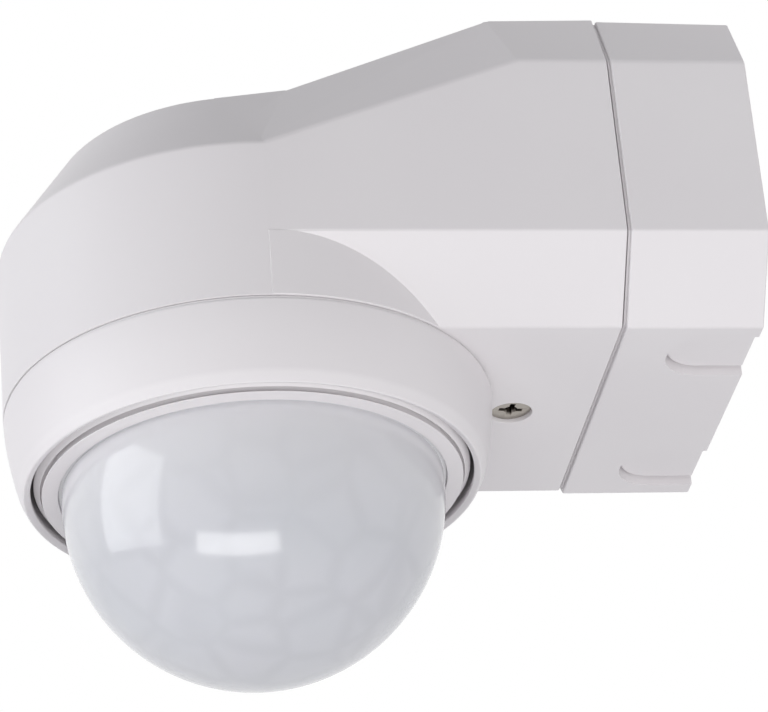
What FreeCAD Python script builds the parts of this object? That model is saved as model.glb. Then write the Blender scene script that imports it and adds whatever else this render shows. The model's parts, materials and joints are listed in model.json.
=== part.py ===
import FreeCAD, Part
import math
import os

from FreeCAD import Vector

os.makedirs("parts", exist_ok=True)

# A wall-mounted outdoor motion detector, in millimetres.
# The wall is the plane y = 0 and the detector reaches out to -y, with +z up.
# Heights are drawn from the flat underside of the housing. On saving, every
# piece moves down by half the box's height, so that the origin is the middle
# of the face that lies on the wall.

# Outside form
box_height = 54.9
box_depth = 23.2
lower_flat_half = 29.1
lower_chamfer_rise = 11.5
roof_chamfer_in = 6.8
roof_chamfer_rise = 11.7
roof_flat_reach = 41.0
roof_heel_shift = 3.3
roof_angle = 20.5
seam_rise = 0.6
head_radius = 40.0
head_reach = 80.0
head_height = 42.5
head_chamfer_in = 10.0
head_chamfer_rise = 15.0
side_draft = 0.008
tangent_step = 0.03
rim_edge_radius = 0.3

# Walls and clearances
shell_wall = 2.2
box_wall = 2.4
back_plate = 2.4
slide_gap = 0.3
turn_gap = 0.25
snug_gap = 0.1
seam_gap = 0.15

# Seam between the wall box and the housing
step_depth = 0.5
step_length = 0.8
gasket_inset = 1.0
gasket_depth = 1.2
gasket_proud = 0.1
lip_wall = 1.5
lip_length = 3.8
rim_band = 6.7

# Knock-out pockets for a cable from below
pocket_spacing = 39.8
pocket_width = 12.6
pocket_length = 14.0
pocket_recess = 1.4

# Wall fixing holes and cable entry
fixing_spacing = 60.0
fixing_hole_radius = 2.25
entry_rise = 13.0
entry_hole_radius = 9.0
cable_radius = 4.5
grommet_lip = 2.0
grommet_lip_length = 1.8

# Tongue, housing screw and captive nut
screw_reach = 36.3
screw_head_radius = 3.5
screw_radius = 1.75
screw_length = 8.0
recess_length = 4.4
recess_width = 0.9
recess_depth = 1.2
tongue_half_width = 9.0
tongue_thickness = 2.4
tongue_reach = 43.0
slot_play = 0.45
nut_width = 7.0
nut_thickness = 2.8
cage_wall = 1.6
cage_roof = 1.2
cage_leg = 2.4

# Power board in the housing
board_lift = 1.5
board_thickness = 1.6
board_half_width = 28.5
board_rear = 28.5
board_length = 31.5
board_post_radius = 3.0
board_post_inset_x = 4.5
board_post_inset_y = 3.0
board_screw_radius = 1.2
board_screw_head_radius = 2.4
board_screw_head_height = 1.6
board_screw_length = 7.0

# Parts on the power board, each at a place across and out from the board's middle
relay_size = (19.0, 15.5, 15.8)
relay_place = (-18.0, 1.0)
film_size = (7.0, 18.0, 14.0)
film_place = (14.0, 2.2)
electrolytic_radius = 3.3
electrolytic_height = 15.0
electrolytic_place = (-13.0, 12.2)
fuse_radius = 2.6
fuse_length = 13.0
fuse_place = (22.6, 0.0)
fuse_cap_length = 3.0
varistor_radius = 6.0
varistor_thickness = 4.0
varistor_place = (-5.2, 1.2)
choke_radius = 4.5
choke_core_radius = 2.8
choke_flange = 1.6
choke_height = 12.0
choke_place = (3.6, 0.2)
chip_size = (8.0, 6.0, 1.4)
chip_spacing = 36.0
chip_shift = 0.7

# Plug connection between housing and wall box
pole_spacing = 10.0
pole_count = 3
pin_rise = 4.6
pin_width = 2.0
pin_height = 0.8
pin_play = 0.3
pin_tip_reach = 13.0
header_size = (28.0, 6.0, 8.0)
header_rear = 30.0

# Terminal block
block_rear = 5.4
block_depth = 13.0
block_half_width = 15.0
block_below_pins = 6.0
block_above_pins = 8.0
ear_width = 5.0
ear_thickness = 3.0
ear_post_radius = 2.3
clamp_half_width = 3.0
clamp_rear = 8.0
clamp_depth = 7.0
clamp_height = 4.5
clamp_above_pins = 2.5
leaf_thickness = 0.7
leaf_reach = 2.4
wire_radius = 1.7
clamp_screw_radius = 1.25
clamp_screw_head_radius = 2.1
clamp_screw_head_height = 1.8
clamp_screw_length = 6.0

# Lead from the power board to the sensor board
lead_radius = 1.8
lead_socket_size = (8.0, 6.0, 5.0)
lead_socket_inset = 5.0
lead_bend_radius = 12.0
lead_rise = 3.0
lead_plug_width = 7.0
lead_plug_height = 5.3

# Turning hub of the sensor head
hub_radius = 12.0
hub_bore = 9.0
hub_neck_radius = 11.0
hub_neck_height = 2.5
clip_radius = 15.0
clip_thickness = 1.6
tab_length = 2.6
tab_width = 3.4
stop_radius = 1.5
stop_height = 3.0

# Trim ring
ring_gap = 0.5
ring_top_radius = 40.0
ring_middle_radius = 39.25
ring_low_radius = 38.0
ring_low_depth = 12.0
ring_depth = 13.8
ring_rim_radius = 36.9
ring_inner_radius = 35.8
ring_wall = 2.0
ring_rim_bulge = 0.25
ring_rim_roll = 0.25
ring_rim_height = 1.0
ridge_depth = 2.8
ridge_wall = 1.4

# Sensor drum, bezel and lens
drum_radius = 35.4
drum_wall = 1.8
drum_top_gap = 0.3
drum_plate = 1.8
drum_depth = 12.0
bezel_depth = 13.9
bezel_face_radius = 34.2
bezel_bore_radius = 31.5
bezel_plate = 1.6
bezel_spigot_wall = 0.9
bezel_spigot_height = 1.1
lens_radius = 31.0
lens_centre_depth = 15.55
lens_wall = 0.9
lens_flange_radius = 32.35
lens_flange = 1.0
clamp_ring_radius = 30.2
clamp_ring_height = 1.25

# Sensor board and what it carries
sensor_board_radius = 31.9
sensor_board_thickness = 1.4
sensor_post_height = 1.7
sensor_post_radius = 2.5
sensor_post_circle = 24.0
sensor_post_angles = (30, 150, 270)
sensor_screw_radius = 1.0
sensor_screw_head_radius = 2.0
sensor_screw_head_height = 1.2
sensor_screw_length = 3.9
holder_top_radius = 13.5
holder_tip_radius = 6.2
holder_height = 8.0
can_radius = 4.3
can_cap_radius = 3.9
can_height = 4.2
can_sink = 1.0
can_angles = (-90, 30, 150)
window_size = (4.0, 3.2, 0.3)
diode_radius = 2.5
diode_height = 4.6
diode_circle = 20.0
light_sensor_angle = -30
status_led_angle = -150
sensor_chip_size = (8.0, 6.0, 1.5)
sensor_chip_circle = 21.0
sensor_chip_angles = (90, 180)

# Adjusters on the rim of the sensor board
adjuster_spread = 30.0
adjuster_width = 5.0
adjuster_depth = 3.9
adjuster_height = 4.2
knob_radius = 2.1
knob_end_inset = 0.5
knob_slot_width = 0.7
knob_slot_depth = 0.8
knob_shaft_radius = 0.8
knob_shaft_length = 2.6
knob_shaft_gap = 0.05
window_gap = 0.35

# Places worked out from the sizes above
roof_tan = math.tan(math.radians(roof_angle))
axis = Vector(0, -head_reach, 0)
housing_rear = -box_depth - seam_gap
lip_inset = shell_wall + slide_gap
tongue_low = lip_inset
tongue_top = tongue_low + tongue_thickness
nut_low = tongue_top + 2 * snug_gap
nut_top = nut_low + nut_thickness
cage_top = nut_top + snug_gap + cage_roof
board_low = cage_top + board_lift
board_top = board_low + board_thickness
board_front = board_rear + board_length
board_middle = board_rear + board_length / 2
lead_socket_reach = board_front - lead_socket_inset
pin_level = board_top + pin_rise
block_low = pin_level - block_below_pins
block_top = pin_level + block_above_pins
block_front = block_rear + block_depth
clamp_low = pin_level + clamp_above_pins
clamp_level = clamp_low + clamp_height / 2
entry_level = box_height / 2 + entry_rise
ridge_radius = drum_radius + ring_gap
ring_seat_radius = ridge_radius + ridge_wall + slide_gap
drum_top = -drum_top_gap
drum_ceiling = drum_top - drum_plate
sensor_board_top = drum_ceiling - sensor_post_height
sensor_board_low = sensor_board_top - sensor_board_thickness
stop_reach = clip_radius + stop_radius + slide_gap
sensor_screw_end = sensor_board_low + sensor_screw_length
knob_level = sensor_board_low - adjuster_height / 2
knob_start = sensor_board_radius + slide_gap
clip_low = shell_wall + turn_gap
everything = 400.0
over = 1.0


def half_width(height):
    """Half the width between the side walls, which lean out as they rise."""
    return head_radius + side_draft * height


def behind(point, normal):
    """All the space on the inner side of a plane."""
    corner = Vector(-everything / 2, -everything / 2, -everything)
    block = Part.makeBox(everything, everything, everything, corner)
    block.Placement = FreeCAD.Placement(point, FreeCAD.Rotation(Vector(0, 0, 1), normal))
    return block


def both_sides(point, normal):
    """A plane on the +x side and its mirror on the -x side."""
    left = (Vector(-point.x, point.y, point.z), Vector(-normal.x, normal.y, normal.z))
    return [(point, normal), left]


def section_planes():
    """The eight-sided section that the wall box and the housing share, open at the top."""
    chamfer_top = half_width(lower_chamfer_rise)
    foot = box_height - roof_chamfer_rise
    planes = [(Vector(0, 0, 0), Vector(0, 0, -1))]
    planes += both_sides(
        Vector(lower_flat_half, 0, 0),
        Vector(lower_chamfer_rise, 0, lower_flat_half - chamfer_top),
    )
    planes += both_sides(Vector(half_width(0) - tangent_step, 0, 0), Vector(1, 0, -side_draft))
    planes += both_sides(
        Vector(half_width(foot), 0, foot),
        Vector(roof_chamfer_rise, 0, roof_chamfer_in),
    )
    return planes


def box_top():
    """The top of the wall box, which rises from the wall to the seam."""
    return [(Vector(0, 0, box_height), Vector(0, seam_rise, box_depth))]


def roof_planes():
    """The housing's top: level behind its bend, then a slope with two facets on each side.

    The bend runs from the ridge corner down to the heel. The lower facet meets the side wall
    from the heel to the head's cheek, and the upper facet meets the head's cone at its side.
    """
    foot = box_height - roof_chamfer_rise
    shoulder = head_height - head_chamfer_rise
    ridge = Vector(half_width(foot) - roof_chamfer_in, -roof_flat_reach, box_height)
    heel = Vector(half_width(foot), -roof_flat_reach + roof_heel_shift, foot)
    cheek = Vector(half_width(shoulder), -head_reach, shoulder)
    brow = cheek + Vector(-head_chamfer_in, 0, head_chamfer_rise)
    level = (ridge, Vector(0, -seam_rise, roof_flat_reach - box_depth))
    slope = (ridge, Vector(0, -roof_tan, 1))
    lower_facets = both_sides(ridge, (cheek - ridge).cross(heel - ridge))
    upper_facets = both_sides(ridge, (brow - ridge).cross(cheek - ridge))
    return [level, slope] + lower_facets + upper_facets


def faceted(rear, front, inset, planes):
    """A bar along y, inside the planes after they move in by the inset."""
    corner = Vector(-everything / 2, front, -everything / 2)
    bar = Part.makeBox(everything, rear - front, everything, corner)
    for point, normal in planes:
        outward = Vector(normal).normalize()
        bar = bar.common(behind(point - outward * inset, outward))
    return bar


def outline(points):
    """A closed outline of straight edges."""
    return Part.makePolygon([Vector(*p) for p in points] + [Vector(*points[0])])


def turned(points):
    """A solid of revolution about the head's axis, from radius and height."""
    wire = outline([(radius, -head_reach, height) for radius, height in points])
    return Part.Face(wire).revolve(axis, Vector(0, 0, 1), 360)


def washer(outer, inner, low, high):
    """A flat ring about the head's axis."""
    return turned([(inner, low), (outer, low), (outer, high), (inner, high)])


def disc(radius, low, high, centre=axis):
    """An upright cylinder between two heights."""
    return Part.makeCylinder(radius, high - low, Vector(centre.x, centre.y, low))


def block_between(low, high):
    """A box from its lowest to its highest corner."""
    size = Vector(*high) - Vector(*low)
    return Part.makeBox(size.x, size.y, size.z, Vector(*low))


def standing_box(size, place, base):
    """A box that stands on a height, centred at an x and a reach from the wall."""
    low = (place[0] - size[0] / 2, -place[1] - size[1] / 2, base)
    return Part.makeBox(size[0], size[1], size[2], Vector(*low))


def on_circle(radius, degrees, height):
    """A point on a circle about the head's axis."""
    angle = math.radians(degrees)
    return axis + Vector(radius * math.cos(angle), radius * math.sin(angle), height)


def radial(degrees):
    """The direction straight out from the head's axis."""
    angle = math.radians(degrees)
    return Vector(math.cos(angle), math.sin(angle), 0)


def head_form(inset):
    """The round head: a drafted cylinder with a chamfered top edge."""
    rise = head_chamfer_rise
    run = head_chamfer_in
    foot = head_height - rise
    base_radius = head_radius - inset * math.hypot(1, side_draft)
    line = rise * half_width(foot) + run * foot - inset * math.hypot(rise, run)
    shoulder = (line - rise * base_radius) / (rise * side_draft + run)
    top = head_height - inset
    return turned([
        (0, inset),
        (base_radius + side_draft * inset, inset),
        (base_radius + side_draft * shoulder, shoulder),
        ((line - run * top) / rise, top),
        (0, top),
    ])


def housing_form(inset, rear):
    """The outside of the housing, or the hollow inside it."""
    bridge = faceted(rear, -head_reach, inset, section_planes() + roof_planes())
    return bridge.fuse(head_form(inset)).removeSplitter()


def box_form(rear, front, inset):
    """A length of the wall box's section."""
    return faceted(rear, front, inset, section_planes() + box_top())


def pin_places():
    """The x of each pole."""
    first = -pole_spacing * (pole_count - 1) / 2
    return [first + pole_spacing * i for i in range(pole_count)]


def screw(radius, height, shank_radius, shank_length, slot_width):
    """A slotted screw along +z, with its cylindrical head's seat at the origin."""
    body = Part.makeCylinder(radius, height, Vector(0, 0, -height))
    body = body.fuse(Part.makeCylinder(shank_radius, shank_length))
    slot = Part.makeBox(2 * radius, slot_width, height / 2, Vector(-radius, -slot_width / 2, -height))
    return body.cut(slot).removeSplitter()


def aimed(shape, place, direction):
    """A shape drawn along +z, laid along a direction from a place."""
    moved = shape.copy()
    moved.Placement = FreeCAD.Placement(place, FreeCAD.Rotation(Vector(0, 0, 1), direction))
    return moved


def pocket(x):
    """One knock-out pocket, open to the wall and round at its front end."""
    radius = pocket_width / 2
    centre = Vector(x, -(pocket_length - radius), 0)
    recess = block_between((x - radius, centre.y, -over), (x + radius, over, pocket_recess))
    return recess.fuse(disc(radius, -over, pocket_recess, centre)).removeSplitter()


def tongue():
    """The slotted tongue that the housing screw clamps."""
    hook = block_between(
        (-tongue_half_width, -tongue_reach, tongue_low),
        (tongue_half_width, -(box_depth - rim_band), tongue_top),
    )
    slot_radius = screw_radius + slot_play
    slot = block_between(
        (-slot_radius, -tongue_reach - over, tongue_low - over),
        (slot_radius, -screw_reach, tongue_top + over),
    )
    end = disc(slot_radius, tongue_low - over, tongue_top + over, Vector(0, -screw_reach, 0))
    return hook.cut(slot).cut(end)


def ear_places():
    """Middle of each terminal block ear, as x and height."""
    x = block_half_width + ear_width / 2
    return [(-x, pin_level), (x, pin_level)]


def wall_box():
    """The box that is screwed to the wall, open to the front."""
    step_rear = -(box_depth - step_length)
    shell = box_form(0, step_rear, 0)
    rim = [e for e in shell.Edges if e.BoundBox.YMax < step_rear + snug_gap]
    shell = shell.makeFillet(rim_edge_radius, rim)
    shell = shell.fuse(box_form(step_rear, -box_depth, step_depth))
    shell = shell.fuse(box_form(-box_depth, -box_depth - lip_length, lip_inset))
    band_rear = -(box_depth - rim_band)
    shell = shell.cut(box_form(-back_plate, band_rear, box_wall))
    shell = shell.cut(box_form(band_rear + over, -box_depth - lip_length - over, lip_inset + lip_wall))
    groove = box_form(-box_depth + gasket_depth, -box_depth, gasket_inset)
    shell = shell.cut(groove.cut(box_form(0, -box_depth - over, lip_inset)))
    shell = shell.fuse(tongue())
    outward = Vector(0, -1, 0)
    for x, z in ear_places():
        root = Vector(x, -back_plate / 2, z)
        post = Part.makeCylinder(ear_post_radius, block_rear - back_plate / 2, root, outward)
        hole = Part.makeCylinder(board_screw_radius, block_rear, root, outward)
        shell = shell.fuse(post).cut(hole)
    for side in (-1, 1):
        place = Vector(side * fixing_spacing / 2, over, box_height / 2)
        shell = shell.cut(Part.makeCylinder(fixing_hole_radius, back_plate + 2 * over, place, outward))
        shell = shell.cut(pocket(side * pocket_spacing / 2))
    place = Vector(0, over, entry_level)
    entry = Part.makeCylinder(entry_hole_radius, back_plate + 2 * over, place, outward)
    return shell.cut(entry).removeSplitter()


def seam_gasket():
    """The sealing cord in the groove round the rim."""
    rear = -box_depth + gasket_depth
    front = -box_depth - gasket_proud
    return box_form(rear, front, gasket_inset).cut(box_form(rear + over, front - over, lip_inset))


def cable_grommet():
    """The rubber grommet in the back plate, with the bore for the cable."""
    start = Vector(0, -snug_gap, entry_level)
    inward = Vector(0, -1, 0)
    plug = Part.makeCylinder(entry_hole_radius, back_plate - snug_gap, start, inward)
    collar = Part.makeCylinder(
        entry_hole_radius + grommet_lip, grommet_lip_length, Vector(0, -back_plate, entry_level), inward
    )
    bore = Part.makeCylinder(cable_radius, box_depth, Vector(0, over, entry_level), inward)
    return plug.fuse(collar).cut(bore).removeSplitter()


def terminal_clamp(x):
    """One pole's brass clamp, with its wire hole, screw thread and leaf."""
    front = -clamp_rear - clamp_depth
    clamp = block_between(
        (x - clamp_half_width, front, clamp_low),
        (x + clamp_half_width, -clamp_rear, clamp_low + clamp_height),
    )
    leaf_low = pin_level + pin_height / 2 + pin_play
    leaf = block_between(
        (x - pin_width / 2, front, leaf_low),
        (x + pin_width / 2, front + leaf_thickness, clamp_low),
    )
    foot = block_between(
        (x - pin_width / 2, front - leaf_reach, leaf_low),
        (x + pin_width / 2, front + leaf_thickness, leaf_low + leaf_thickness),
    )
    return clamp.fuse(leaf).fuse(foot).removeSplitter()


def wire_hole(x):
    """The hole that a stripped wire goes down, from the block's top."""
    middle = Vector(x, -clamp_rear - clamp_depth / 2, 0)
    return disc(wire_radius, clamp_low, block_top + over, middle)


def clamp_screw(x, play):
    """One terminal screw, or with play the room that it turns in."""
    seat = Vector(x, -clamp_rear - clamp_depth, clamp_level)
    shape = screw(
        clamp_screw_head_radius + play,
        clamp_screw_head_height,
        clamp_screw_radius + play / 2,
        clamp_screw_length,
        recess_width,
    )
    return aimed(shape, seat, Vector(0, 1, 0))


def terminal_block():
    """The moulded block that the mains wires and the plug pins meet in."""
    body = block_between(
        (-block_half_width, -block_front, block_low),
        (block_half_width, -block_rear, block_top),
    )
    ear_front = -block_rear - ear_thickness
    for x, z in ear_places():
        ear = block_between(
            (x - ear_width / 2, ear_front, z - ear_width / 2),
            (x + ear_width / 2, -block_rear, z + ear_width / 2),
        )
        start = Vector(x, 0, z)
        hole = Part.makeCylinder(board_screw_radius + snug_gap, box_depth, start, Vector(0, -1, 0))
        body = body.fuse(ear).cut(hole)
    well_radius = clamp_screw_head_radius + slide_gap
    for x in pin_places():
        body = body.cut(terminal_clamp(x)).cut(wire_hole(x))
        seat = Vector(x, -clamp_rear - clamp_depth, clamp_level)
        body = body.cut(Part.makeCylinder(well_radius, block_depth, seat, Vector(0, -1, 0)))
        shank = Part.makeCylinder(
            clamp_screw_radius + snug_gap, clamp_screw_length + snug_gap, seat, Vector(0, 1, 0)
        )
        body = body.cut(shank)
        half_slot = pin_width / 2 + pin_play
        half_rise = pin_height / 2 + pin_play
        body = body.cut(block_between(
            (x - half_slot, -block_front - over, pin_level - half_rise),
            (x + half_slot, -pin_tip_reach + slide_gap, pin_level + half_rise),
        ))
    return body.removeSplitter()


def clamps():
    """The three brass clamps with their holes."""
    made = []
    for x in pin_places():
        seat = Vector(x, -clamp_rear - clamp_depth, clamp_level)
        thread = Part.makeCylinder(
            clamp_screw_radius + snug_gap / 2, clamp_screw_length + snug_gap, seat, Vector(0, 1, 0)
        )
        made.append(terminal_clamp(x).cut(wire_hole(x)).cut(thread))
    return Part.makeCompound(made)


def block_screws():
    """The two screws through the terminal block's ears."""
    shape = screw(
        board_screw_head_radius, board_screw_head_height, board_screw_radius, block_rear, recess_width
    )
    seat = -block_rear - ear_thickness
    return Part.makeCompound([aimed(shape, Vector(x, seat, z), Vector(0, 1, 0)) for x, z in ear_places()])


def board_corners():
    """The four fixing places of the power board."""
    x = board_half_width - board_post_inset_x
    near = -board_rear - board_post_inset_y
    far = -board_front + board_post_inset_y
    return [Vector(sx * x, y, 0) for sx in (-1, 1) for y in (near, far)]


def nut_cage():
    """The cage over the tongue that keeps the nut from turning."""
    pocket_half = nut_width / 2 + snug_gap
    half = pocket_half + cage_wall
    open_end = -screw_reach + pocket_half
    front = -tongue_reach - slide_gap - cage_leg
    cage = block_between((-half, front, nut_low), (half, open_end, cage_top))
    nut_room = block_between(
        (-pocket_half, -screw_reach - pocket_half, nut_low - over),
        (pocket_half, open_end + over, nut_top + snug_gap),
    )
    leg = block_between((-half, front, shell_wall / 2), (half, front + cage_leg, cage_top))
    return cage.cut(nut_room).fuse(leg).removeSplitter()


def countersink(play):
    """The housing screw's head, or with play its seat in the floor."""
    cone_depth = screw_head_radius - screw_radius
    return Part.makeCone(
        screw_head_radius + play, screw_radius + play, cone_depth, Vector(0, -screw_reach, 0)
    )


def housing_shell():
    """The one-piece cover: bridge, round head, floor and screw seat."""
    shell = housing_form(0, housing_rear).cut(housing_form(shell_wall, housing_rear + over))
    shell = shell.fuse(washer(ridge_radius + ridge_wall, ridge_radius, -ridge_depth, shell_wall / 2))
    shell = shell.cut(disc(hub_radius + turn_gap, -over, shell_wall + over))
    stop_place = axis + Vector(0, stop_reach, 0)
    shell = shell.fuse(disc(stop_radius, shell_wall / 2, shell_wall + stop_height, stop_place))
    for corner in board_corners():
        shell = shell.fuse(disc(board_post_radius, shell_wall / 2, board_low, corner))
        shell = shell.cut(disc(board_screw_radius, shell_wall, board_low + over, corner))
    shell = shell.fuse(nut_cage())
    shell = shell.cut(countersink(snug_gap / 2))
    hole = disc(screw_radius + snug_gap, -over, shell_wall + over, Vector(0, -screw_reach, 0))
    return shell.cut(hole).removeSplitter()


def housing_screw():
    """The countersunk cross-head screw in the underside."""
    place = Vector(0, -screw_reach, 0)
    body = countersink(0).fuse(disc(screw_radius, 0, screw_length, place))
    for long_x, long_y in ((recess_length, recess_width), (recess_width, recess_length)):
        slot = Part.makeBox(long_x, long_y, recess_depth, place - Vector(long_x / 2, long_y / 2, 0))
        body = body.cut(slot)
    return body.removeSplitter()


def square_nut():
    """The captive square nut on the housing screw."""
    nut = standing_box((nut_width, nut_width, nut_thickness), (0, screw_reach), nut_low)
    place = Vector(0, -screw_reach, 0)
    return nut.cut(disc(screw_radius + snug_gap / 2, nut_low - over, nut_top + over, place))


def power_board():
    """The mains power board."""
    board = block_between(
        (-board_half_width, -board_front, board_low),
        (board_half_width, -board_rear, board_top),
    )
    for corner in board_corners():
        board = board.cut(disc(board_screw_radius + snug_gap, board_low - over, board_top + over, corner))
    return board


def board_screws():
    """The four screws of the power board."""
    shape = screw(
        board_screw_head_radius,
        board_screw_head_height,
        board_screw_radius,
        board_screw_length,
        recess_width,
    )
    seats = [corner + Vector(0, 0, board_top) for corner in board_corners()]
    return Part.makeCompound([aimed(shape, seat, Vector(0, 0, -1)) for seat in seats])


def on_board(place):
    """A place on the power board, as across and out from the wall."""
    return place[0], board_middle + place[1]


def fuse():
    """The fuse's body, lying along y."""
    x, reach = on_board(fuse_place)
    start = Vector(x, -reach - fuse_length / 2, board_top + fuse_radius)
    return Part.makeCylinder(fuse_radius, fuse_length, start, Vector(0, 1, 0))


def fuse_caps():
    """The two metal caps at the fuse's ends, each with its foot on the board."""
    x, reach = on_board(fuse_place)
    caps = []
    for side in (-1, 1):
        y = -reach + side * (fuse_length / 2 + fuse_cap_length / 2)
        cap = Part.makeCylinder(
            fuse_radius,
            fuse_cap_length,
            Vector(x, y - fuse_cap_length / 2, board_top + fuse_radius),
            Vector(0, 1, 0),
        )
        foot = standing_box((fuse_radius, fuse_cap_length, fuse_radius), (x, -y), board_top)
        caps.append(cap.fuse(foot).removeSplitter())
    return Part.makeCompound(caps)


def electrolytic_capacitor():
    """The round capacitor's can, standing on the board."""
    x, reach = on_board(electrolytic_place)
    return disc(electrolytic_radius, board_top, board_top + electrolytic_height, Vector(x, -reach, 0))


def varistor():
    """The surge protector: a coated disc that stands on edge."""
    x, reach = on_board(varistor_place)
    start = Vector(x - varistor_thickness / 2, -reach, board_top + varistor_radius)
    return Part.makeCylinder(varistor_radius, varistor_thickness, start, Vector(1, 0, 0))


def choke():
    """The smoothing choke: a bobbin core between two flanges."""
    x, reach = on_board(choke_place)
    place = Vector(x, -reach, 0)
    top = board_top + choke_height
    body = disc(choke_radius, board_top, board_top + choke_flange, place)
    body = body.fuse(disc(choke_core_radius, board_top, top, place))
    return body.fuse(disc(choke_radius, top - choke_flange, top, place)).removeSplitter()


def choke_winding():
    """The copper winding between the choke's flanges."""
    x, reach = on_board(choke_place)
    place = Vector(x, -reach, 0)
    low = board_top + choke_flange
    high = board_top + choke_height - choke_flange
    outer = disc(choke_radius - snug_gap, low, high, place)
    return outer.cut(disc(choke_core_radius, low - over, high + over, place))


def power_chips():
    """The two flat packages under the power board."""
    return Part.makeCompound([
        standing_box(chip_size, on_board((side * chip_spacing / 2, chip_shift)), board_low - chip_size[2])
        for side in (-1, 1)
    ])


def plug_header():
    """The moulded header that holds the plug pins."""
    header = standing_box(header_size, (0, header_rear + header_size[1] / 2), board_top)
    for x in pin_places():
        header = header.cut(plug_pin(x))
    return header


def plug_pin(x):
    """One flat pin, from inside the header to its tip in the wall box."""
    return block_between(
        (x - pin_width / 2, -header_rear - header_size[1] / 2, pin_level - pin_height / 2),
        (x + pin_width / 2, -pin_tip_reach, pin_level + pin_height / 2),
    )


def head_lead():
    """The lead: up from its socket, over, and down the head's axis."""
    start = Vector(0, -lead_socket_reach, board_top + lead_socket_size[2])
    end = Vector(0, -head_reach, sensor_board_top + lead_plug_height + snug_gap)
    bend = lead_bend_radius
    crest = start.z + lead_rise + bend
    half = bend * math.sqrt(0.5)
    first = Vector(0, start.y, crest - bend)
    first_end = Vector(0, start.y - bend, crest)
    second = Vector(0, end.y + bend, crest)
    second_end = Vector(0, end.y, crest - bend)
    first_middle = Vector(0, start.y - bend + half, crest - bend + half)
    second_middle = Vector(0, end.y + bend - half, crest - bend + half)
    path = Part.Wire([
        Part.makeLine(start, first),
        Part.Arc(first, first_middle, first_end).toShape(),
        Part.makeLine(first_end, second),
        Part.Arc(second, second_middle, second_end).toShape(),
        Part.makeLine(second_end, end),
    ])
    ring = Part.Wire([Part.makeCircle(lead_radius, start, Vector(0, 0, 1))])
    return path.makePipeShell([ring], True, False)


def ring_face_arc():
    """The trim ring's outer face in section, as an arc."""
    top = Vector(ring_top_radius, -head_reach, -ring_gap)
    middle = Vector(ring_middle_radius, -head_reach, -(ring_gap + ring_low_depth) / 2)
    low = Vector(ring_low_radius, -head_reach, -ring_low_depth)
    return Part.Arc(top, middle, low).toShape()


def trim_ring():
    """The tapering ring that hides the adjusters, with a rounded lower rim."""
    y = -head_reach
    rim_middle = Vector(
        (ring_low_radius + ring_rim_radius) / 2 + ring_rim_bulge,
        y,
        -(ring_low_depth + ring_depth) / 2 - ring_rim_bulge,
    )
    low = Vector(ring_low_radius, y, -ring_low_depth)
    rim = Vector(ring_rim_radius, y, -ring_depth)
    chain = [
        rim,
        Vector(ring_inner_radius, y, -ring_depth + ring_rim_roll),
        Vector(ring_inner_radius, y, -ring_depth + ring_rim_height),
        Vector(ring_low_radius - ring_wall, y, -ring_low_depth),
        Vector(ring_seat_radius, y, -ridge_depth - slide_gap),
        Vector(ring_seat_radius, y, -ring_gap),
        Vector(ring_top_radius, y, -ring_gap),
    ]
    edges = [ring_face_arc(), Part.Arc(low, rim_middle, rim).toShape()]
    edges += [Part.makeLine(a, b) for a, b in zip(chain, chain[1:])]
    face = Part.Face(Part.Wire(Part.__sortEdges__(edges)))
    return face.revolve(axis, Vector(0, 0, 1), 360)


def adjuster_angles():
    """Where the three adjusters sit, with the middle one at the front."""
    return [-90 - adjuster_spread, -90, -90 + adjuster_spread]


def sensor_posts():
    """The three fixing places of the sensor board."""
    return [on_circle(sensor_post_circle, angle, 0) for angle in sensor_post_angles]


def sensor_drum():
    """The turning drum: side wall, top plate, hub and board posts."""
    inner = drum_radius - drum_wall
    neck = clip_low + hub_neck_height
    drum = turned([
        (hub_bore, drum_ceiling),
        (inner, drum_ceiling),
        (inner, -drum_depth),
        (drum_radius, -drum_depth),
        (drum_radius, drum_top),
        (hub_radius, drum_top),
        (hub_radius, clip_low),
        (hub_neck_radius, clip_low),
        (hub_neck_radius, neck),
        (hub_bore, neck),
    ])
    for place in sensor_posts():
        drum = drum.fuse(disc(sensor_post_radius, sensor_board_top, drum_ceiling + drum_plate / 2, place))
        drum = drum.cut(disc(sensor_screw_radius, sensor_board_low, sensor_screw_end + snug_gap, place))
    for angle in adjuster_angles():
        start = on_circle(inner - drum_wall / 2, angle, knob_level)
        drum = drum.cut(Part.makeCylinder(knob_radius + window_gap, 2 * drum_wall, start, radial(angle)))
    return drum.removeSplitter()


def hub_clip():
    """The ring that keeps the hub in the floor, with its stop tab."""
    top = clip_low + clip_thickness
    ring = washer(clip_radius, hub_neck_radius, clip_low, top)
    tab = block_between(
        (-tab_width / 2, -head_reach - clip_radius - tab_length, clip_low),
        (tab_width / 2, -head_reach - hub_radius, top),
    )
    return ring.fuse(tab).removeSplitter()


def sensor_board():
    """The round board above the lens."""
    board = disc(sensor_board_radius, sensor_board_low, sensor_board_top)
    radius = sensor_screw_radius + snug_gap
    for place in sensor_posts():
        board = board.cut(disc(radius, sensor_board_low - over, sensor_board_top + over, place))
    return board


def sensor_board_screws():
    """The three screws of the sensor board."""
    shape = screw(
        sensor_screw_head_radius,
        sensor_screw_head_height,
        sensor_screw_radius,
        sensor_screw_length,
        knob_slot_width,
    )
    seats = [place + Vector(0, 0, sensor_board_low) for place in sensor_posts()]
    return Part.makeCompound([aimed(shape, seat, Vector(0, 0, 1)) for seat in seats])


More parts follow.
